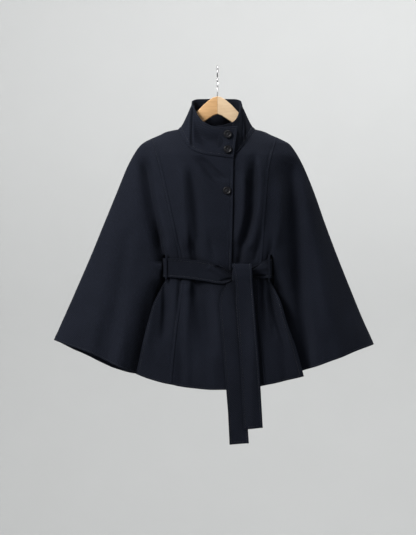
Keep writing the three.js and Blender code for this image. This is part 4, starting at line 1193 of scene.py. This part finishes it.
FRONT_TAIL = table("drop left right proud", [
    [545.5, 43, 88, 12], [542.4, 41, 88.5, 16], [541.4, 38.5, 89, 20], [544, 37.5, 90, 26],
    [553, 40, 90.5, 29.8], [575, 45.5, 91, 30.6], [600, 47.8, 92.5, 27], [640, 49.5, 96, 17],
    [690, 53, 100, 10.4], [745, 56, 104, 8.8], [800, 59, 108.5, 8.4], [866, 62.5, 113, 8.4],
    [920, 65, 116, 8.8], [980, 68, 119, 9.2],
])
REAR_TAIL = table("drop left right proud", [
    [597, 23, 52, 12], [606, 17, 53, 11], [618, 10, 54, 9], [634, 6, 54, 7],
    [655, 4, 55, 5.4], [713, 9, 59, 4.3], [790, 15, 65, 4.3], [868, 21.5, 71.5, 4.3],
    [940, 27, 77, 4.8], [1021, 31, 82, 5],
])
TAIL_END_RISE = 4
TAIL_TOP_RISE = {"belt_tail_front": 0, "belt_tail_rear": 17}
# Bends of the tails: drop, height, reach down, lean across
TAIL_BENDS = {
    "belt_tail_front": table("drop height reach lean", [
        [612, 1.0, 16, 0.5], [668, -0.9, 26, -0.4], [760, 0.8, 40, 0.3], [905, -0.7, 34, -0.5]]),
    "belt_tail_rear": table("drop height reach lean", [
        [640, -1.1, 14, 0.8], [700, 0.7, 30, -0.4], [930, 0.8, 30, 0.5]]),
}


def belt_tail(name, rows):
    key = np.arange(len(rows["drop"]))
    run = np.concatenate([[0], np.cumsum(np.hypot(np.diff(rows["drop"]), np.diff(rows["proud"])))])
    place = curve(run, key.astype(float), spread(run[-1], 2.8) * run[-1])
    low = np.floor(place).astype(int).clip(0, len(key) - 2)
    part = place - low
    level = {k: mix(v[low], v[low + 1], part) for k, v in rows.items()}
    drop = level["drop"][:, None] * np.ones_like(ACROSS)[None]
    x = mix(level["left"][:, None], level["right"][:, None], ACROSS[None])
    rest = np.clip(drop, 590, 868)
    y = height(-1, x, rest, fine=False) - level["proud"][:, None]
    end = ease((drop - rows["drop"][-2]) / (rows["drop"][-1] - rows["drop"][-2]))
    start = 1 - ease((drop - rows["drop"][0]) / 46)
    z = -(drop - end * TAIL_END_RISE * ACROSS[None] - start * TAIL_TOP_RISE[name] * ACROSS[None])
    out = np.zeros_like(x)
    for bend in rows_of(TAIL_BENDS[name]):
        middle = bend["drop"] + bend["lean"] * 40 * (ACROSS[None] - 0.5)
        out += bend["height"] * bell(drop - middle, bend["reach"])
    out *= ease((rows["drop"][-1] - drop) / 12)
    t = strip(name, np.stack([x, y, z], -1), (60, 40, -640), BELT_WIDE, WOOL_SKIN, out)
    stitched_edges(name, t, BELT_WIDE)
    grid, normals = GRIDS[name]
    fall = np.linalg.norm(grid - grid[-1:], axis=-1).mean(axis=1)
    row = int(np.argmin(np.abs(fall - BELT_STITCH)))
    sew_grid(name, grid[:, 8:-8], normals[:, 8:-8], row=row)


belt_tail("belt_tail_front", FRONT_TAIL)
belt_tail("belt_tail_rear", REAR_TAIL)

LOOP_WALL = 1.8
LOOP_INNER = 136
LOOP_OUTER = 141
LOOP = table("drop proud", [
    [516, 2.3], [520, 3.4], [524, 6.8], [552, 7], [581, 6.8], [585, 3.4], [590, 2.3],
])


def belt_loop(name, worn):
    drops = mix(LOOP["drop"][0], LOOP["drop"][-1], spread(80, 1.4))
    proud = np.interp(drops, LOOP["drop"], LOOP["proud"])
    across = spread(LOOP_OUTER - LOOP_INNER, 1.2)
    x = worn * mix(LOOP_INNER, LOOP_OUTER, across)[None] * np.ones_like(drops)[:, None]
    drop = drops[:, None] * np.ones_like(across)[None]
    y = height(-1, x, drop, fine=False) - proud[:, None]
    grid = np.stack([x, y, -drop], -1)
    normals = grid_normals(grid, np.array([0, -1, 0.0]))
    flat = np.stack([x, drop], -1)
    piece = wall(name + "_cloth", grid, normals, LOOP_WALL, BELT_SKIN, flat)
    keep(name, grid, normals)


belt_loop("belt_loop_r", -1)
belt_loop("belt_loop_l", 1)

# Knot: a soft squared lump with wraps across it
KNOT = {"x": 65, "y": -85, "drop": 572, "half_x": 27.5, "half_y": 12, "half_z": 23.5,
        "square": 0.62}


def belt_knot():
    rings, spokes = 44, 72
    lean = np.pi * (np.arange(rings + 1) / rings)[:, None]
    turn = 2 * np.pi * (np.arange(spokes) / spokes)[None]

    def bent(value):
        return np.sign(value) * np.abs(value) ** KNOT["square"]

    x = KNOT["half_x"] * bent(np.sin(lean)) * bent(np.cos(turn))
    y = KNOT["half_y"] * bent(np.sin(lean)) * bent(np.sin(turn))
    z = KNOT["half_z"] * bent(np.cos(lean)) * np.ones_like(turn)
    groove = bell((z + 0.55 * x + 6) / 3.0, 1) + 0.7 * bell((z - 0.4 * x - 9) / 3.0, 1)
    shrink = 1 - 0.05 * groove
    points = np.stack([KNOT["x"] + x * shrink, KNOT["y"] + y * shrink,
                       z * shrink - KNOT["drop"]], -1)
    flat = np.stack(np.broadcast_arrays(x + 3 * y, z), -1)
    index = np.arange((rings + 1) * spokes).reshape(rings + 1, spokes)
    after = np.roll(index, -1, axis=1)
    faces = np.stack([index[:-1], index[1:], after[1:], after[:-1]], -1).reshape(-1, 4)
    piece = put("belt_knot_cloth", points.reshape(-1, 3), faces, BELT_SKIN, flat.reshape(-1, 2))
    mesh = bmesh.new()
    mesh.from_mesh(piece.data)
    bmesh.ops.remove_doubles(mesh, verts=mesh.verts, dist=1e-6)
    bmesh.ops.recalc_face_normals(mesh, faces=mesh.faces)
    mesh.to_mesh(piece.data)
    mesh.free()
    piece.data.polygons.foreach_set("use_smooth", [True] * len(piece.data.polygons))
    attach(piece, "root")
    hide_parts("belt_knot")


belt_knot()


# Buttons, hanger and hook
def tube_mesh(name, points, rings, sides):
    mesh = bpy.data.meshes.new(name)
    mesh.from_pydata([tuple(c * MM for c in p) for p in points], [], tube_faces(rings, sides))
    return mesh


def turned_mesh(name, profile, spokes):
    """Closed solid turned round Z from rows of radius and height, in millimetres."""
    points = []
    for radius, level in profile:
        for i in range(spokes):
            turn = 2 * math.pi * i / spokes
            points.append((radius * math.cos(turn), radius * math.sin(turn), level))
    return tube_mesh(name, points, len(profile), spokes)


def cut(name, mesh, cutters, material):
    """The mesh with the cutters taken out of it, as a new piece."""
    body = linked(mesh, name + "_blank", material)
    tools = []
    for k, cutter in enumerate(cutters):
        tool = linked(cutter, f"{name}_cutter_{k}", material)
        tools.append(tool)
        step = body.modifiers.new(f"cut_{k}", "BOOLEAN")
        step.operation = "DIFFERENCE"
        step.solver = "EXACT"
        step.object = tool
    bpy.context.view_layer.update()
    done = bpy.data.meshes.new_from_object(
        body.evaluated_get(bpy.context.evaluated_depsgraph_get()))
    for spare in [body, *tools]:
        bpy.data.objects.remove(spare)
    return linked(done, name, material)


def sharp_smooth(piece, degrees=38):
    mesh = bmesh.new()
    mesh.from_mesh(piece.data)
    for edge in mesh.edges:
        edge.smooth = len(edge.link_faces) != 2 or edge.calc_face_angle(0) < math.radians(degrees)
    mesh.to_mesh(piece.data)
    mesh.free()


BUTTONS = table("x drop y", [[27, 192, -60.8], [27, 233, -62.6], [25, 345, -74.6]])
BUTTON_RADIUS = 10.5
BUTTON_THICK = 3.6
REST_GAP = 0.4
HOLE_RADIUS = 1.1
HOLE_OFFSET = 2.2
BUTTON_PROFILE = table("radius rise", [
    [0.02, 0], [0.8, 0], [0.88, 0.08], [0.955, 0.26], [1.0, 0.45], [0.99, 0.66], [0.95, 0.85],
    [0.9, 0.955], [0.845, 1], [0.79, 0.985], [0.73, 0.86], [0.66, 0.7], [0.5, 0.645],
    [0.25, 0.625], [0.02, 0.62],
])


def make_button(name, x, drop, y):
    profile = [(BUTTON_RADIUS * r, BUTTON_THICK * h)
               for r, h in zip(BUTTON_PROFILE["radius"], BUTTON_PROFILE["rise"])]
    holes = []
    for k, (side, up) in enumerate([(1, 1), (1, -1), (-1, 1), (-1, -1)]):
        hole = turned_mesh(f"{name}_hole_{k}", [(HOLE_RADIUS, -5), (HOLE_RADIUS, 9)], 16)
        shift = np.array([side, up, 0]) * HOLE_OFFSET * MM
        for vertex in hole.vertices:
            vertex.co.x += shift[0]
            vertex.co.y += shift[1]
        holes.append(hole)
    piece = cut(name + "_horn", turned_mesh(name, profile, 56), holes, HORN)
    for vertex in piece.data.vertices:
        px, py, pz = vertex.co
        vertex.co = (px + x * MM, (y - REST_GAP) * MM - pz, py - drop * MM)
    sharp_smooth(piece)
    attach(piece, "root")
    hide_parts(name)
    face_y = y - REST_GAP - BUTTON_THICK * 0.66
    for a, b in (((-1, -1), (1, 1)), ((-1, 1), (1, -1))):
        ends = [np.array([x + s * HOLE_OFFSET, face_y, -drop + u * HOLE_OFFSET])
                for s, u in (a, b)]
        thread_bar(name, ends[0], ends[1])


def thread_bar(name, start, end, radius=0.62, sides=8, steps=9):
    """Bundle of thread that arches from one hole to another."""
    points, faces = SEWN.setdefault(name, ([], []))
    along = unit(end - start)
    out = np.array([0, -1.0, 0])
    side = np.cross(along, out)
    base = len(points)
    for k in range(steps):
        t = k / (steps - 1)
        middle = mix(start, end, t) + out * (1.5 * math.sin(math.pi * t) - 0.9)
        for i in range(sides):
            turn = 2 * math.pi * i / sides
            points.append(middle + side * radius * math.cos(turn) + out * radius * math.sin(turn))
    faces += tube_faces(steps, sides, base)


for k in range(3):
    make_button(f"button_{k + 1}", BUTTONS["x"][k], BUTTONS["drop"][k], BUTTONS["y"][k])

WOOD_HALF = 6
WOOD_ROUND = 2.4
SHANK_BOTTOM = 101
BORE_RADIUS = 2.2
WOOD = table("out top bottom", [
    [0, 81, 130], [12, 84, 134], [24, 92, 142], [38, 104, 151], [52, 119, 163], [66, 134, 177],
    [76, 149, 188], [84, 162.5, 196], [92, 175, 203], [98, 181, 208], [106, 182.5, 212],
    [120, 185, 217], [142, 191, 223], [165, 200, 228], [184, 210, 233], [192, 216, 232],
    [196, 220, 229],
])


def hanger_arm(name, worn, material):
    outs = np.unique(np.concatenate([[SEAM_GAP / 2], np.arange(2, 192, 2.0),
                                     np.arange(192, 196.1, 1)]))
    points = []
    corner = np.linspace(0, np.pi / 2, 5)
    for out in outs:
        top = -np.interp(out, WOOD["out"], WOOD["top"])
        bottom = -np.interp(out, WOOD["out"], WOOD["bottom"])
        cut_back = min(WOOD_ROUND, (top - bottom) / 3)
        tall = (top - bottom) / 2 - cut_back
        deep = WOOD_HALF - cut_back
        middle = (top + bottom) / 2
        for quarter, (sy, sz) in enumerate([(1, 1), (1, -1), (-1, -1), (-1, 1)]):
            turns = corner if quarter % 2 == 0 else corner[::-1]
            for turn in turns:
                points.append((worn * out, sy * (deep + cut_back * math.sin(turn)),
                               middle + sz * (tall + cut_back * math.cos(turn))))
    mesh = tube_mesh(name, points, len(outs), 4 * len(corner))
    shape = bmesh.new()
    shape.from_mesh(mesh)
    bmesh.ops.recalc_face_normals(shape, faces=shape.faces)
    shape.to_mesh(mesh)
    shape.free()
    bore = turned_mesh(name + "_bore",
                       [(BORE_RADIUS, -SHANK_BOTTOM - 1), (BORE_RADIUS, -SHANK_BOTTOM + 41)], 24)
    piece = cut(name + "_wood", mesh, [bore], material)
    sharp_smooth(piece, 34)
    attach(piece, "root")
    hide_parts(name)


hanger_arm("hanger_arm_r", -1, WOOD_RIGHT_PAINTED_SHADE)
hanger_arm("hanger_arm_l", 1, WOOD_LEFT_PAINTED_LIGHT)

HOOK_RADIUS = 19
WIRE_RADIUS = 1.9
HOOK_FOOT = table("y z", [
    [0, -101], [0, -84], [0, -66], [1.5, -57], [6, -49.5], [12.5, -43.5], [17.5, -37], [20, -29],
])


def hook():
    radius = HOOK_RADIUS + WIRE_RADIUS
    turns = np.radians(np.arange(0, 201, 20))
    y = np.concatenate([HOOK_FOOT["y"], radius * np.cos(turns), [-17.8]])
    z = np.concatenate([HOOK_FOOT["z"], -HOOK_RADIUS + radius * np.sin(turns), [-32]])
    run = np.concatenate([[0], np.cumsum(np.hypot(np.diff(y), np.diff(z)))])
    at = np.concatenate([np.arange(0, run[-1], 1.0), [run[-1]]])
    y, z = (cubic(run, values, np.gradient(values, run), at) for values in (y, z))
    line = np.stack([np.zeros_like(y), y, z], -1)
    along = unit(np.gradient(line, axis=0))
    across = np.array([1.0, 0, 0])
    up = np.cross(along, across)
    sides = 20
    size = np.full(len(line), WIRE_RADIUS)
    size[-1], size[-2] = WIRE_RADIUS * 0.62, WIRE_RADIUS * 0.92
    points = []
    for p, u, r in zip(line, up, size):
        for i in range(sides):
            turn = 2 * math.pi * i / sides
            points.append(p + across * r * math.cos(turn) + u * r * math.sin(turn))
    piece = put("hook_wire", points, tube_faces(len(line), sides), STEEL)
    sharp_smooth(piece, 50)
    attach(piece, "root")
    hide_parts("hook")


hook()

# Stitches, one piece for each part they hold
for name, (points, faces) in SEWN.items():
    piece = put(name + "_stitches", points, faces, THREAD)
    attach(piece, "root")


# Round floor and wall in one sweep, so there is a plain ground behind the coat from every side
FLOOR = -2400
SWEEP = 1600
WALL_AWAY = 5000
WALL_TOP = 3200
PALE = (0.52, 0.527, 0.527)


def backdrop():
    bend = np.linspace(0, math.pi / 2, 17)
    away = np.concatenate([[10, 1700], WALL_AWAY - SWEEP * (1 - np.sin(bend)), [WALL_AWAY]])
    z = np.concatenate([[FLOOR, FLOOR], FLOOR + SWEEP * (1 - np.cos(bend)), [WALL_TOP]])
    turn = 2 * np.pi * np.arange(96) / 96
    points = np.stack(np.broadcast_arrays(away[:, None] * np.cos(turn),
                                          away[:, None] * np.sin(turn), z[:, None]), -1)
    index = np.arange(points[..., 0].size).reshape(points.shape[:2])
    after = np.roll(index, -1, axis=1)
    faces = np.stack([index[:-1], index[1:], after[1:], after[:-1]], -1).reshape(-1, 4)
    faces = [*faces, index[0]]
    put("backdrop", points.reshape(-1, 3), faces,
                 wall_material("pale_wall", PALE))


backdrop()

# Camera: level, three metres before the hook, on the middle of the picture
VIEW_DISTANCE = 3.0
PICTURE_TALL = 535 * 2.75 * MM
camera_data = bpy.data.cameras.new("camera")
camera_data.sensor_fit = "VERTICAL"
camera_data.sensor_height = 36
camera_data.lens = 36 * VIEW_DISTANCE / PICTURE_TALL
camera = bpy.data.objects.new("camera", camera_data)
camera.location = (-0.026125, -VIEW_DISTANCE, -0.551375)
camera.rotation_euler = (math.pi / 2, 0, 0)
bpy.context.scene.collection.objects.link(camera)
bpy.context.scene.camera = camera


def area_light(name, place, target, size, power, colour=(1, 1, 1)):
    data = bpy.data.lights.new(name, "AREA")
    data.shape = "RECTANGLE"
    data.size, data.size_y = size
    data.energy = power
    data.color = colour
    light = bpy.data.objects.new(name, data)
    light.location = place
    aim = Vector(target) - Vector(place)
    light.rotation_euler = aim.to_track_quat("-Z", "Y").to_euler()
    bpy.context.scene.collection.objects.link(light)


area_light("key", (-1.9, -1.6, 1.3), (0, 0, -0.5), (0.9, 0.9), 110, (1, 0.99, 0.97))
area_light("fill", (2.4, -2.4, 0.4), (0, 0, -0.5), (1.6, 1.6), 12, (0.97, 0.985, 1))
area_light("collar_top", (0, 0.02, 0.32), (0, 0.02, -0.14), (0.1, 0.1), 0.6)
area_light("wall_wash", (0.5, 0.9, 2.2), (1.0, 5.0, -0.5), (2.4, 1.2), 215)
area_light("side_wash", (2.3, 0.3, -0.3), (0.2, -0.1, -0.6), (0.6, 1.4), 8)

world = bpy.data.worlds.new("studio")
world.use_nodes = True
world.node_tree.nodes["Background"].inputs["Color"].default_value = (0.9, 0.93, 0.95, 1)
world.node_tree.nodes["Background"].inputs["Strength"].default_value = 0.06
bpy.context.scene.world = world
bpy.context.scene.view_settings.view_transform = "Standard"
